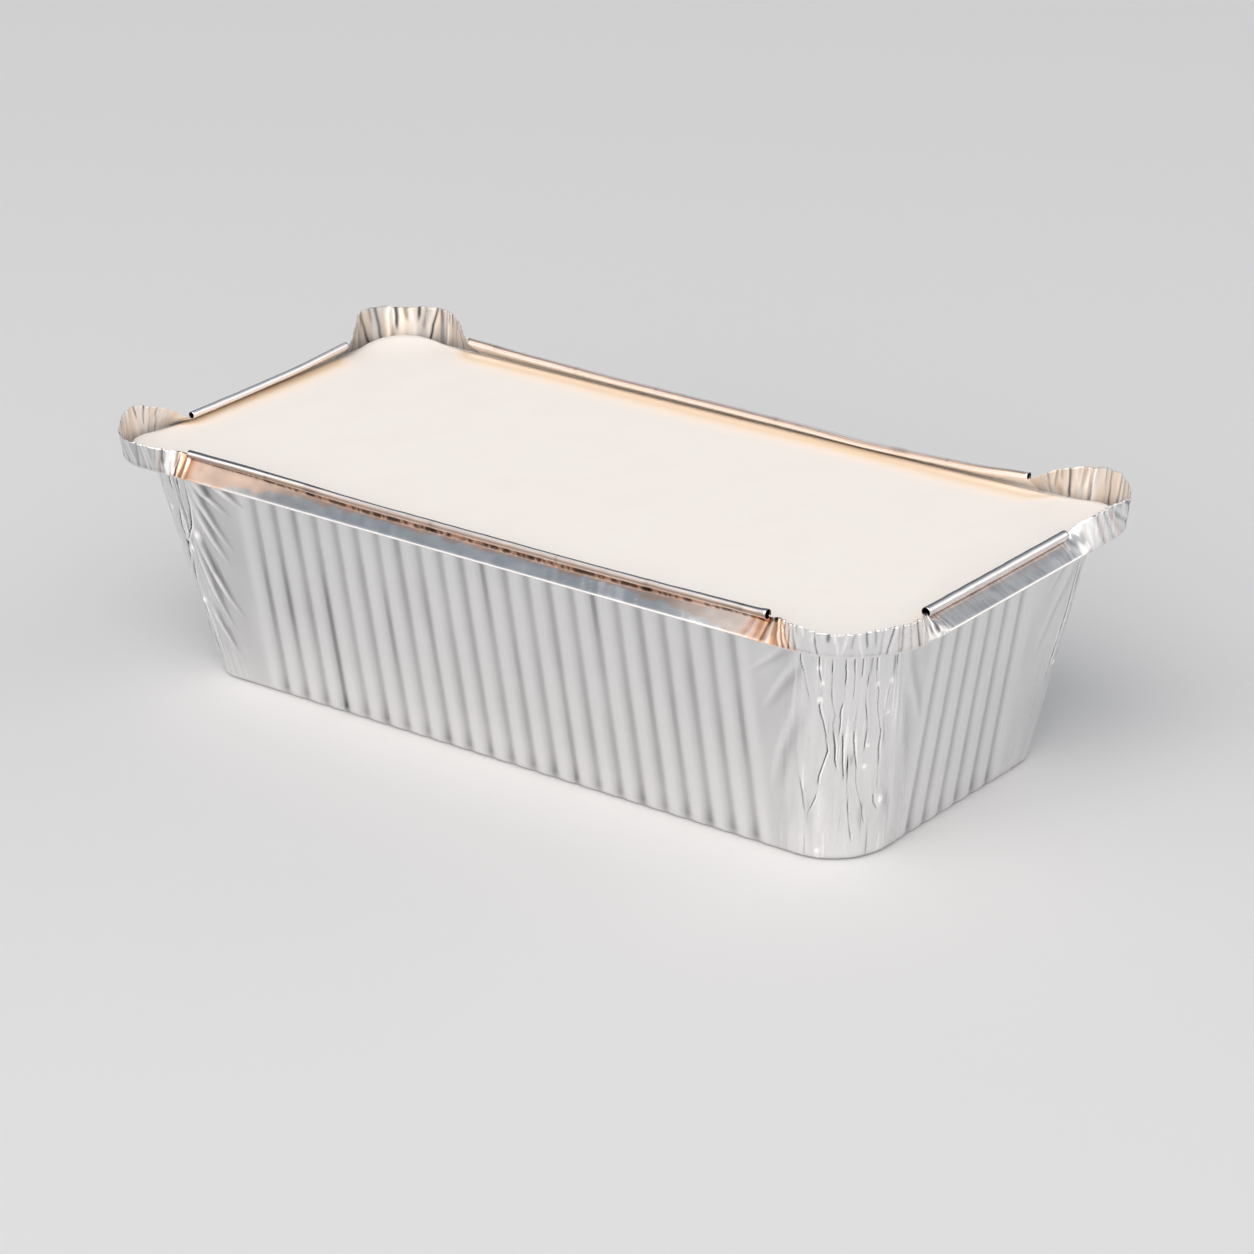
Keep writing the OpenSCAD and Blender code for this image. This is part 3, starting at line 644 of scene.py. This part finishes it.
def flange_tints(share, u, on, turning):
    """Warmth and tone of the outside of the flange: painted warm reflections, a painted slate reflection,
    painted light and shade, and a painted highlight along its foot, besides a random mottle and scratches.
    """
    front = COLS.k == 0
    stops = np.array(GREY_SHARE)
    jag = 0.08 * noise(u / 0.9, 0, 51) + 0.12 * noise(u / 3.1 + 2.5 * share, 0, 52)
    band = smooth((share - np.interp(u, stops[:, 0], stops[:, 1]) - jag) / 0.16 + 0.5)
    warm = np.where(front, 0.8 * band, 0.3 * smooth((share - 0.5) / 0.2)) * on + turning * front * 0.2
    warm = warm * (1 - 0.4 * smooth((share - 0.8) / 0.2))
    # A painted slate reflection, painted light strokes in the grey, and painted dashes of shade under the
    # front bead
    slate = 0.25 * front * (1 - band) * bell(u - SLATE_AT, SLATE_REACH)
    strokes = bell(noise(u / 1.6 + 1.7 * share, 0, 54), 0.22) * (0.25 + smooth((u - 5) / 40))
    dashes = (noise(u / 0.7, 0, 55) > 0.1) * bell(share - 0.78, 0.07) * bell(u / 45, 1.0) * front
    scratches = 0.16 * noise(u / 0.45 + 2 * share, 0.7 * share, 57) * (COLS.k == 1)
    mottle = 0.1 * noise(u / 2.2 + share, share / 0.3, 56)
    tone = on * (mottle - 0.25 * strokes * (1 - band) + 0.5 * dashes + scratches + slate)
    # Painted shade under the front bead and towards the front's left end, painted light towards its right
    # end, and painted shade on the right flange
    upper, right, left = smooth((share - 0.7) / 0.2), smooth((u - 48) / 15), smooth((-46 - u) / 12)
    tone = tone + on * (front * (0.15 * band * upper - 0.35 * right + 0.16 * left) + 0.1 * (COLS.k == 1))
    # A painted highlight along the flange's foot, fainter at the front's ends
    return warm, tone - 0.6 * bell(share, 0.07) * on * (1 - 0.8 * front_ends(u))


def bead_paint(turns, u):
    """Tone and warmth of a row of the beads, which is turned by turns degrees on each side: painted
    reflections and painted shade.
    """
    turn = turns[COLS.k]
    streaks = np.array([[np.interp(t, *np.array(s)[:, [0, j]].T) for j in (1, 2)]
                        for t, s in zip(turns, BEAD_STREAKS)])
    tone, warm = streaks[COLS.k].T
    tone = tone + 0.12 * noise(turn / 13, u / 70, 35) + 0.2 * bell(noise(u / 4.7, 0, 36), 0.04)
    gaps = (noise(u / GAP_LENGTH, 0, 58) > 0.1) * (COLS.k == 0) * (turn > GAP_TURN)
    return tone - GAP_TONE * gaps, warm


class Rim:
    """Rows of the ledge, the fold at its edge, the flange and the bead, in that order.
    A row has the points of both skins, the warmth of both, a painted warm reflection, and the tone of both,
    painted light and shade."""

    def __init__(self):
        self.u, self.on, slope, length = rim_stations()
        self.near, self.c = COLS.corner_place(LEDGE)
        angle = np.radians(slope)
        self.up = np.array([-np.cos(angle), np.sin(angle)])
        self.inward = np.array([-np.sin(angle), -np.cos(angle)])
        self.standing = np.where(self.on, 0, smooth((slope - 50) / 35))
        self.turning = np.where(self.on, 0, smooth((slope - 38) / 14) * smooth((97 - slope) / 16))
        ragged = 0.16 * noise(self.c / 0.9 + 9 * self.near, 0, 31) + 0.1 * noise(self.c / 0.35, self.near, 32)
        self.length = length + self.standing * ragged
        self.rows = []

    def add(self, out, z, out_in, z_in, warm, warm_in, tone, tone_in):
        tints = [np.broadcast_to(v, COLS.n) for v in (warm, warm_in, tone, tone_in)]
        self.rows.append((COLS.ring(LEDGE, out, z), COLS.ring(LEDGE, out_in, z_in), *tints))

    def add_ledge(self):
        move, top_tone, _ = wall_detail(WALL_TOP, 1.0, 1.0)
        lean, zero = wall_rows(1)[-1][3], np.zeros(COLS.n)
        under = COLS.ring(WALL_TOP, move + lean[0] * FOIL, LEDGE_H + lean[1] * FOIL)
        self.rows.append((COLS.ring(WALL_TOP, move, LEDGE_H), under, zero, zero, top_tone, zero))
        # The ledge's rows get painted shade
        for t in LEDGE_STOPS:
            o, d = mix(WALL_TOP, LEDGE, t), move * (1 - t) ** 2
            z = LEDGE_H - 0.05 * bell(t - 0.5, 0.3)
            self.rows.append((COLS.ring(o, d, z), COLS.ring(o, d, z + FOIL), zero, zero, zero + 0.3, zero))

    def add_fold(self):
        far = self.on * front_ends(self.u)
        for t in FOLD_STOPS:
            turn = math.radians(90 * t)
            d, z = FOLD_OUT * (math.sin(turn) - 1), LEDGE_H + FOLD_RISE * (1 - math.cos(turn))
            # A painted highlight along the fold, painted shade on its inside, and a painted warm reflection
            # near the front's ends
            glint = mix(0.9, 0.5, self.standing) * t * (1 - 0.6 * far)
            self.add(d, z, d - FOIL * math.sin(turn), z + FOIL * math.cos(turn), 0.15 + 0.5 * far, 0.1,
                     0.1 - glint, 0.2)

    def flange_tone(self, share, tone):
        """Tone of painted light and shade that a standing corner adds outside, and the whole tone inside:
        painted shade at the foot, painted light under the beads, and the tone of the creases.
        """
        side = np.array((-0.12, 0, 0, 0.1))[self.near]
        outside = self.standing * (0.25 * bell(share - 0.09, 0.05) + side)
        foot = 0.35 * (1 - share) ** 4 + np.array((0, 0.14, 0.24, 0.0))[self.near] - 0.7 * self.on
        return outside, foot + 1.1 * tone

    def add_flange(self):
        """The flange's rows. It gives the points of the last row's inner skin."""
        u, near, c, on = self.u, self.near, self.c, self.on
        past = np.where(c > 0, c - corner_ends(near)[1], 2 * HOOD_REACH)
        hood = on * smooth(1 - past / HOOD_REACH) * (near == 0)
        for i in range(FLANGE_CELLS + 1):
            share = i / FLANGE_CELLS
            wave, tone = crinkle(share, near, c, self.standing)
            fan, fan_tone, fan_warm = gusset_wave(share, near, c, self.turning)
            wave = wave + fan * (1 - share * on) + 0.05 * on * noise(u / 2.5, 3 * share, 33) * share
            point = np.array([wave * 0.9, FOLD_RISE + 0 * wave]) + self.up * self.length * share
            point = point - self.inward * (hood * HOOD_BULGE * 4 * share * (1 - share) * (1.3 - share))
            back = point + self.inward * FOIL
            warm, flat_tone = flange_tints(share, u, on, self.turning)
            outside, inside = self.flange_tone(share, tone)
            # Painted warm reflection of the board on the flange's inside
            inner_reflection = 0.5 + 0.3 * noise(c / 0.8 + 5 * near, 0.7 * share, 57) + 0.2 * on
            self.add(point[0], LEDGE_H + point[1], back[0], LEDGE_H + back[1], np.clip(warm + fan_warm, 0, 2),
                     inner_reflection, tone + flat_tone + fan_tone + outside, inside)
        return back

    def roll(self, centre, radius, turn, back):
        """Points of one skin of the beads. Elsewhere they lie on the flange's end."""
        radius = radius * (1 + 0.03 * noise(self.u / 3.5, turn / 70, 34))
        spoke = self.inward * np.cos(np.radians(turn)) + self.up * np.sin(np.radians(turn))
        return np.where(self.on, centre + spoke * radius, back)

    def add_beads(self, back):
        flare = BEAD_FLARE * bell(bead_span(0)[1] - self.u, FLARE_REACH) * (COLS.k == 0)
        radius = np.array(BEAD_R)[COLS.k] * (1 + flare)
        centre = back - self.inward * radius
        for i in range(1, BEAD_CELLS + 1):
            turns = np.array([np.interp(i, *np.array(steps, float).T) for steps in BEAD_STEPS])
            outer, inner = (self.roll(centre, r, turns[COLS.k], back) for r in (radius - FOIL, radius))
            tone, warm = bead_paint(turns, self.u)
            # The inside of the roll gets painted shade, its outside the painted reflections and shade of
            # bead_paint
            self.add(outer[0], LEDGE_H + outer[1], inner[0], LEDGE_H + inner[1], 0.0, warm, 1.0, tone)


# Meshes
def sharpen(mesh, marks):
    """Keep the shading of a sheet's skins apart along its edges, between marked points."""
    ends = np.zeros(2 * len(mesh.edges), int)
    mesh.edges.foreach_get("vertices", ends)
    sharp = mesh.attributes.new("sharp_edge", "BOOLEAN", "EDGE")
    sharp.data.foreach_set("value", np.asarray(marks)[ends].reshape(-1, 2).all(1))


def make_object(name, points, faces, values, node, material, marks=None):
    """An object at the origin with per-point values, in place of a node."""
    mesh = bpy.data.meshes.new(name)
    mesh.from_pydata((points / 1000).tolist(), [], faces)
    mesh.validate()
    for label, numbers in values.items():
        attribute = mesh.attributes.new(label, "FLOAT", "POINT")
        attribute.data.foreach_set("value", np.asarray(numbers, np.float32))
    mesh.polygons.foreach_set("use_smooth", [True] * len(mesh.polygons))
    if marks is not None:
        sharpen(mesh, marks)
    mesh.materials.append(material)
    piece = new_object(name, mesh)
    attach(piece, "root")
    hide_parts(node)


def quads(a, b, c, d):
    return np.stack([np.asarray(v).ravel() for v in (a, b, c, d)], 1)


def point_grid(rows, cols, wrap=True):
    """Numbers of the points of a skin, with its first column again at the end if it goes once round."""
    grid = np.arange(rows * cols).reshape(rows, cols)
    return np.hstack([grid, grid[:, :1]]) if wrap else grid


def skin_faces(grid, size, cells=...):
    """Faces of the outer skin and of the inner one, whose points come size later."""
    a, b, c, d = (v[cells] for v in (grid[:-1, :-1], grid[:-1, 1:], grid[1:, 1:], grid[1:, :-1]))
    return [quads(a, b, c, d), quads(d + size, c + size, b + size, a + size)]


def seam(line, size, back=False):
    """Faces that join the two skins along a line of points, seen from the other side if back."""
    a, b = (line[1:], line[:-1]) if back else (line[:-1], line[1:])
    return quads(a, b, b + size, a + size)


def sheet_faces(rows, cols, wrap=False):
    """Faces of a thin sheet of two skins of rows x cols points, closed along its edges."""
    grid, size = point_grid(rows, cols, wrap), rows * cols
    faces = skin_faces(grid, size) + [seam(grid[-1], size), seam(grid[0], size, True)]
    if not wrap:
        faces += [seam(grid[:, 0], size), seam(grid[:, -1], size, True)]
    return [tuple(f) for f in np.concatenate(faces).tolist()]


def wall_pieces(material):
    """The wall's four sides and four corners, which meet at the outermost ribs."""
    for cells, ranges, title in ((SIDE_ROWS, COLS.sides, "side"), (CORNER_ROWS, COLS.corners, "corner")):
        outer, inner, tone, gloss = wall_skins(cells)
        for k, cols in enumerate(ranges):
            points = np.concatenate([outer[:, cols].reshape(-1, 3), inner[:, cols].reshape(-1, 3)])
            values = {"tone": np.tile(tone[:, cols].ravel(), 2), "warm": np.zeros(len(points)),
                      "gloss": np.tile(gloss[:, cols].ravel(), 2)}
            marks = np.zeros((2, len(outer), len(cols)), bool)
            marks[:, :, [0, -1]] = True
            marks[:, [0, -1]] = True
            faces = sheet_faces(len(outer), len(cols))
            make_object("foil_%s_%d" % (title, k), points, faces, values, "foil_tray", material,
                        marks.ravel())


def base_piece(material):
    """The flat base inside the wall's foot."""
    outer, inner = base_rings(0.0), base_rings(FOIL)
    rows, n = len(outer), COLS.n
    faces = sheet_faces(rows, n, True)[:-n]
    faces += [tuple(range(n - 1, -1, -1)), tuple(range(rows * n, rows * n + n))]
    points = np.concatenate([outer.reshape(-1, 3), inner.reshape(-1, 3)])
    values = dict.fromkeys(("tone", "warm", "gloss"), np.zeros(len(points)))
    make_object("foil_base", points, faces, values, "foil_tray", material)


def rim_faces(rows, on):
    """Faces of the rim's two skins. The rows of the beads are left out between the beads' ends."""
    n, flange, size = COLS.n, rows - BEAD_CELLS, rows * COLS.n
    grid, lit = point_grid(rows, n), on & np.roll(on, -1)
    cells = np.ones((rows - 1, n), bool)
    cells[flange - 1:] = lit
    last = np.where(lit, rows - 1, flange - 1)
    top, top_next = last * n + np.arange(n), last * n + (np.arange(n) + 1) % n
    faces = skin_faces(grid, size, cells)
    faces += [quads(top, top_next, top_next + size, top + size), seam(grid[0], size, True)]
    rolled = grid[flange - 1:]
    faces += [seam(rolled[:, i], size) for i in np.flatnonzero(lit & ~np.roll(lit, 1))]
    faces += [seam(rolled[:, i + 1], size, True) for i in np.flatnonzero(lit & ~np.roll(lit, -1))]
    return np.concatenate(faces)


def rim_piece(material):
    """The ledge, the flange and the beads. Points that no face uses are left out."""
    rim = Rim()
    rim.add_ledge()
    rim.add_fold()
    rim.add_beads(rim.add_flange())
    outer, inner, warm_out, warm_in, tone_out, tone_in = (np.array(part) for part in zip(*rim.rows))
    rows = len(outer)
    faces = rim_faces(rows, rim.on)
    used = np.unique(faces)
    place = np.zeros(2 * rows * COLS.n, int)
    place[used] = np.arange(len(used))
    gloss = np.repeat(np.arange(rows) >= rows - BEAD_CELLS, COLS.n) * 2.0 - 1
    pairs = {"tone": (tone_out, tone_in), "warm": (warm_out, warm_in), "gloss": (np.ones(gloss.shape), gloss)}
    values = {label: np.concatenate([v.ravel() for v in pair])[used] for label, pair in pairs.items()}
    points = np.concatenate([outer.reshape(-1, 3), inner.reshape(-1, 3)])[used]
    faces = [tuple(f) for f in place[faces].tolist()]
    make_object("foil_rim", points, faces, values, "foil_tray", material)


# The lid
LID = LEDGE - LID_INSET
LID_SHARES = (0.08, 0.25, 0.45, 0.6, 0.7, 0.77, 0.83, 0.88, 0.92, 0.95, 0.97, 0.985)
LID_ROUND = 0.12


def lid_rise(p):
    past = abs(p[:, 0]) - LID[0] + abs(p[:, 1]) - LID[1] + CURL_REACH
    end = CURL_REACH - (2 - math.sqrt(2)) * LID[2:].min()
    return LID_CURL * (np.clip(past, 0, None) / end) ** 2


def from_edge(points):
    """Distance in from the board's long edges and ends, as the painted warm light from the rim sees it. A
    corner has none of it.
    """
    x, y = LID[0] - abs(points[:, 0]), LID[1] - abs(points[:, 1])
    corner = smooth((24 - np.maximum(x, y)) / 10)
    return np.minimum(x + 1.4, y) + 9 * corner


def lid_piece(material):
    """The board: rings of its top from the middle out, then rings of its underside back to the middle."""
    edge = COLS.ring(LID, 0, 0)
    edge[:, :2] += 0.04 * noise(edge[:, 0] / 1.3, edge[:, 1] / 1.3, 41)[:, None] * np.sign(edge[:, :2])
    bottom = LEDGE_H + LID_GAP
    rings = [edge * share for share in LID_SHARES] + [edge * (1 - LID_ROUND / 100)]
    layers = [(p, LID_T) for p in rings] + [(edge, LID_T - LID_ROUND), (edge, LID_ROUND)]
    layers += [(p, 0.0) for p in rings[::-1]]
    points = []
    for p, z in layers:
        q = p.copy()
        q[:, 2] = bottom + z + lid_rise(p) + (0.03 * noise(p[:, 0] / 31, p[:, 1] / 27, 42) + 0.03)
        points.append(q)
    n, rows = COLS.n, len(points)
    points = np.concatenate(points)
    grid = point_grid(rows, n)
    faces = [tuple(f) for f in quads(grid[1:, :-1], grid[1:, 1:], grid[:-1, 1:], grid[:-1, :-1]).tolist()]
    last = (rows - 1) * n
    faces += [tuple(range(n)), tuple(range(last + n - 1, last - 1, -1))]
    make_object("lid_board", points, faces, {"edge": from_edge(points)}, "board_lid", material)


# Materials
class Nodes:
    """Short calls that add and link the shader nodes of a material or world."""

    def __init__(self, owner, shader="Principled BSDF"):
        owner.use_nodes = True
        self.owner, self.tree = owner, owner.node_tree
        self.shader = self.tree.nodes[shader]

    def add(self, kind, inputs=None, **settings):
        node = self.tree.nodes.new(kind)
        for key, value in settings.items():
            setattr(node, key, value)
        for key, value in (inputs or {}).items():
            self.put(node, key, value)
        return node

    def put(self, node, key, value):
        socket = node.inputs[key]
        if isinstance(value, bpy.types.NodeSocket):
            self.tree.links.new(value, socket)
        else:
            socket.default_value = value

    def set(self, **values):
        for key, value in values.items():
            self.put(self.shader, key.replace("_", " "), value)

    def noise(self, scale, detail=3.0, stretch=(1, 1, 1), rough=0.5):
        where = self.add("ShaderNodeTexCoord").outputs["Object"]
        place = self.add("ShaderNodeMapping", {"Vector": where, "Scale": stretch}).outputs[0]
        node = self.add("ShaderNodeTexNoise", {"Vector": place, "Scale": scale, "Detail": detail,
                                               "Roughness": rough})
        return node.outputs["Fac"]

    def value(self, name):
        return self.add("ShaderNodeAttribute", attribute_name=name).outputs["Fac"]

    def remap(self, x, low, high, to_low=0.0, to_high=1.0, **settings):
        inputs = {"Value": x, "From Min": low, "From Max": high, "To Min": to_low, "To Max": to_high}
        return self.add("ShaderNodeMapRange", inputs, **settings).outputs[0]

    def math(self, operation, a, b):
        return self.add("ShaderNodeMath", {0: a, 1: b}, operation=operation).outputs[0]

    def ramp(self, x, stops):
        node = self.add("ShaderNodeValToRGB", {"Fac": x})
        elements = node.color_ramp.elements
        for position, _ in stops[1:-1]:
            elements.new(position)
        for position, element in zip((stops[0][0], stops[-1][0]), (elements[0], elements[-1])):
            element.position = position
        for element, (_, colour) in zip(elements, stops):
            element.color = colour + (1,)
        return node.outputs["Color"]

    def blend(self, factor, a, b):
        node = self.add("ShaderNodeMix", data_type="RGBA")
        for index, value in ((0, factor), (6, a), (7, b)):
            self.put(node, index, value)
        return node.outputs[2]

    def bump(self, height, strength, distance, after=None):
        inputs = {"Height": height, "Strength": strength, "Distance": distance}
        if after is not None:
            inputs["Normal"] = after
        return self.add("ShaderNodeBump", inputs).outputs[0]


FOIL_COLOUR, DULL_FOIL = (0.83, 0.83, 0.832, 1), (0.79, 0.79, 0.795, 1)
# Painted shade colour and painted highlight colour, then painted warm reflections and a painted cream
# reflection of the board for the inner faces
SHADE_PAINT, GLINT = (0.06, 0.058, 0.06, 1), (0.97, 0.965, 0.96, 1)
WARM_REFLECTION, DEEP_WARM_REFLECTION, CREAM_REFLECTION = (0.9, 0.64, 0.49, 1), (0.86, 0.46, 0.27, 1), (0.78, 0.6, 0.44, 1)


def foil_material():
    """Rolled aluminium: satin on the plain wall, bright where it is worked, with painted shade in creases and
    grooves, painted highlights and painted warm reflections.
    """
    m = Nodes(bpy.data.materials.new("foil"))
    grain = m.noise(900.0, 2.0, (1, 1, 0.1))
    cloud = m.noise(60.0, 3.0)
    tone, gloss = m.value("tone"), m.value("gloss")
    pale = m.blend(m.remap(cloud, 0.3, 0.7), FOIL_COLOUR, DULL_FOIL)
    # Painted warm reflections by the warm value, with a painted cream reflection of the board on the inner
    # faces
    painted_reflection = m.blend(m.remap(gloss, -1.0, 0.0), CREAM_REFLECTION, WARM_REFLECTION)
    tinted = m.blend(m.remap(m.value("warm"), 0.0, 1.0), pale, painted_reflection)
    tinted = m.blend(m.remap(m.value("warm"), 1.0, 2.0), tinted, DEEP_WARM_REFLECTION)
    # Painted shade where the tone is above 0, and a painted highlight, whiter and less metallic, where it is
    # below 0
    base = m.blend(m.remap(tone, 0.0, 1.0), tinted, SHADE_PAINT)
    glint = m.remap(tone, 0.0, -1.0)
    base = m.blend(glint, base, GLINT)
    rough = m.math("ADD", m.remap(gloss, 0.0, 1.0, 0.4, 0.2), m.remap(cloud, 0.3, 0.7, -0.02, 0.03))
    metal = m.math("MULTIPLY", m.remap(glint, 0.0, 1.0, 1.0, 0.35), m.remap(gloss, -1.0, 0.0, 0.4, 1.0))
    fine = m.bump(grain, 0.12, 0.00003)
    dents = m.bump(m.noise(240.0, 3.0), m.remap(gloss, 0.0, 1.0, 0.05, 0.22), 0.00012, fine)
    m.set(Base_Color=base, Metallic=metal, Roughness=rough, Normal=dents)
    return m.owner


BOARD, FLECK = (0.925, 0.877, 0.822), (0.895, 0.832, 0.78, 1)
GLOW_REACH = 12.0
# Painted warm light that the rim throws on the board, darker a little way in, by distance in from its edge as
# a share of GLOW_REACH
GLOW = ((0.0, (0.97, 0.85, 0.73)), (0.14, (0.97, 0.84, 0.7)), (0.21, (0.9, 0.75, 0.58)),
        (0.27, (0.88, 0.72, 0.55)), (0.34, (0.91, 0.765, 0.61)), (0.43, (0.965, 0.84, 0.71)),
        (0.57, (0.97, 0.877, 0.795)), (0.8, BOARD), (1.0, BOARD))


def board_material():
    """Matt coated board with a faint fibre grain and painted warm light from the rim near its edge."""
    m = Nodes(bpy.data.materials.new("lid_board"))
    fibres = m.noise(650.0, 5.0, (1, 0.35, 1), 0.65)
    mottle = m.noise(110.0, 4.0, (1, 0.6, 1))
    wander = m.math("MULTIPLY", m.remap(m.noise(25.0, 2.0), 0.3, 0.7, -1.0, 1.0), 0.6)
    way = m.math("DIVIDE", m.math("ADD", m.value("edge"), wander), GLOW_REACH)
    base = m.ramp(way, GLOW)
    fleck = m.blend(m.remap(mottle, 0.35, 0.7, 0.0, 0.5), base, FLECK)
    m.set(Base_Color=m.blend(m.remap(way, 0.6, 1.0), base, fleck), Roughness=0.85,
          Normal=m.bump(fibres, 0.2, 0.00006))
    return m.owner


# Stage
def new_object(name, data):
    thing = bpy.data.objects.new(name, data)
    bpy.context.scene.collection.objects.link(thing)
    return thing


def pose(x, y, z, place):
    """Matrix of an object whose axes point along x, y and z."""
    return Matrix([[x[i], y[i], z[i], place[i]] for i in range(3)] + [[0, 0, 0, 1]])


def camera():
    a, e, r = (math.radians(v) for v in (AZIMUTH, ELEVATION, ROLL))
    back = np.array([math.sin(a) * math.cos(e), -math.cos(a) * math.cos(e), math.sin(e)])
    right = np.cross(-back, [0, 0, 1])
    right /= np.linalg.norm(right)
    up = np.cross(right, -back)
    x = right * math.cos(r) + up * math.sin(r)
    y = -right * math.sin(r) + up * math.cos(r)
    data = bpy.data.cameras.new("camera")
    data.lens = FOCAL_PX / PHOTO_PX * data.sensor_width
    data.clip_start, data.clip_end = 0.05, 20.0
    eye = new_object("camera", data)
    eye.matrix_world = pose(x, y, back, (np.array(TARGET) + back * DISTANCE) / 1000)
    bpy.context.scene.camera = eye


def key_light():
    """A large soft lamp, aimed at the origin."""
    data = bpy.data.lights.new("key", "AREA")
    data.shape, data.size, data.energy = "DISK", KEY_SIZE, KEY_POWER
    aim = -np.array(KEY_PLACE) / np.linalg.norm(KEY_PLACE)
    side = np.cross(aim, [0, 0, 1])
    side /= np.linalg.norm(side)
    new_object("key", data).matrix_world = pose(side, np.cross(side, aim), -aim, KEY_PLACE)


def floor():
    m = Nodes(bpy.data.materials.new("floor"))
    m.set(Base_Color=FLOOR_COLOUR, Roughness=0.9)
    mesh = bpy.data.meshes.new("floor")
    corners = [(x * FLOOR_REACH, y * FLOOR_REACH, 0) for x, y in ((-1, -1), (1, -1), (1, 1), (-1, 1))]
    mesh.from_pydata(corners, [], [(0, 1, 2, 3)])
    mesh.materials.append(m.owner)
    new_object("floor", mesh)


# The studio by height, and its soft panels and dark gaps: direction, full and outer angle, colour
SKY = ((0.0, (0.8, 0.79, 0.78)), (0.3, (0.8, 0.79, 0.78)), (0.62, (0.4, 0.42, 0.45)),
       (1.0, (0.34, 0.37, 0.41)))
PANELS = (
    ((0.0, -0.85, 0.5), 30, 58, (1.3, 1.22, 1.17)),
    ((-0.6, 0.65, 0.45), 28, 58, (0.3, 0.33, 0.37)),
    ((0.75, 0.6, 0.28), 18, 42, (1.25, 1.2, 1.17)),
)


def world():
    """Soft studio light: pale low down, grey above, with two bright panels and one dark gap."""
    sky = Nodes(bpy.data.worlds.new("studio"), "Background")
    bpy.context.scene.world = sky.owner
    where = sky.add("ShaderNodeTexCoord").outputs["Generated"]
    split = sky.add("ShaderNodeSeparateXYZ", {0: where})
    colour = sky.ramp(split.outputs["Z"], SKY)
    for direction, full, outer, tint in PANELS:
        aim = np.array(direction) / np.linalg.norm(direction)
        dot = sky.add("ShaderNodeVectorMath", {0: where, 1: aim}, operation="DOT_PRODUCT")
        low, high = math.cos(math.radians(outer)), math.cos(math.radians(full))
        share = sky.remap(dot.outputs["Value"], low, high, interpolation_type="SMOOTHSTEP")
        colour = sky.blend(share, colour, tint + (1,))
    sky.set(Color=colour, Strength=1.0)


def main():
    camera()
    foil = foil_material()
    wall_pieces(foil)
    base_piece(foil)
    rim_piece(foil)
    lid_piece(board_material())
    floor()
    world()
    key_light()
    bpy.context.scene.view_settings.view_transform = "Standard"


main()
bpy.context.view_layer.update()
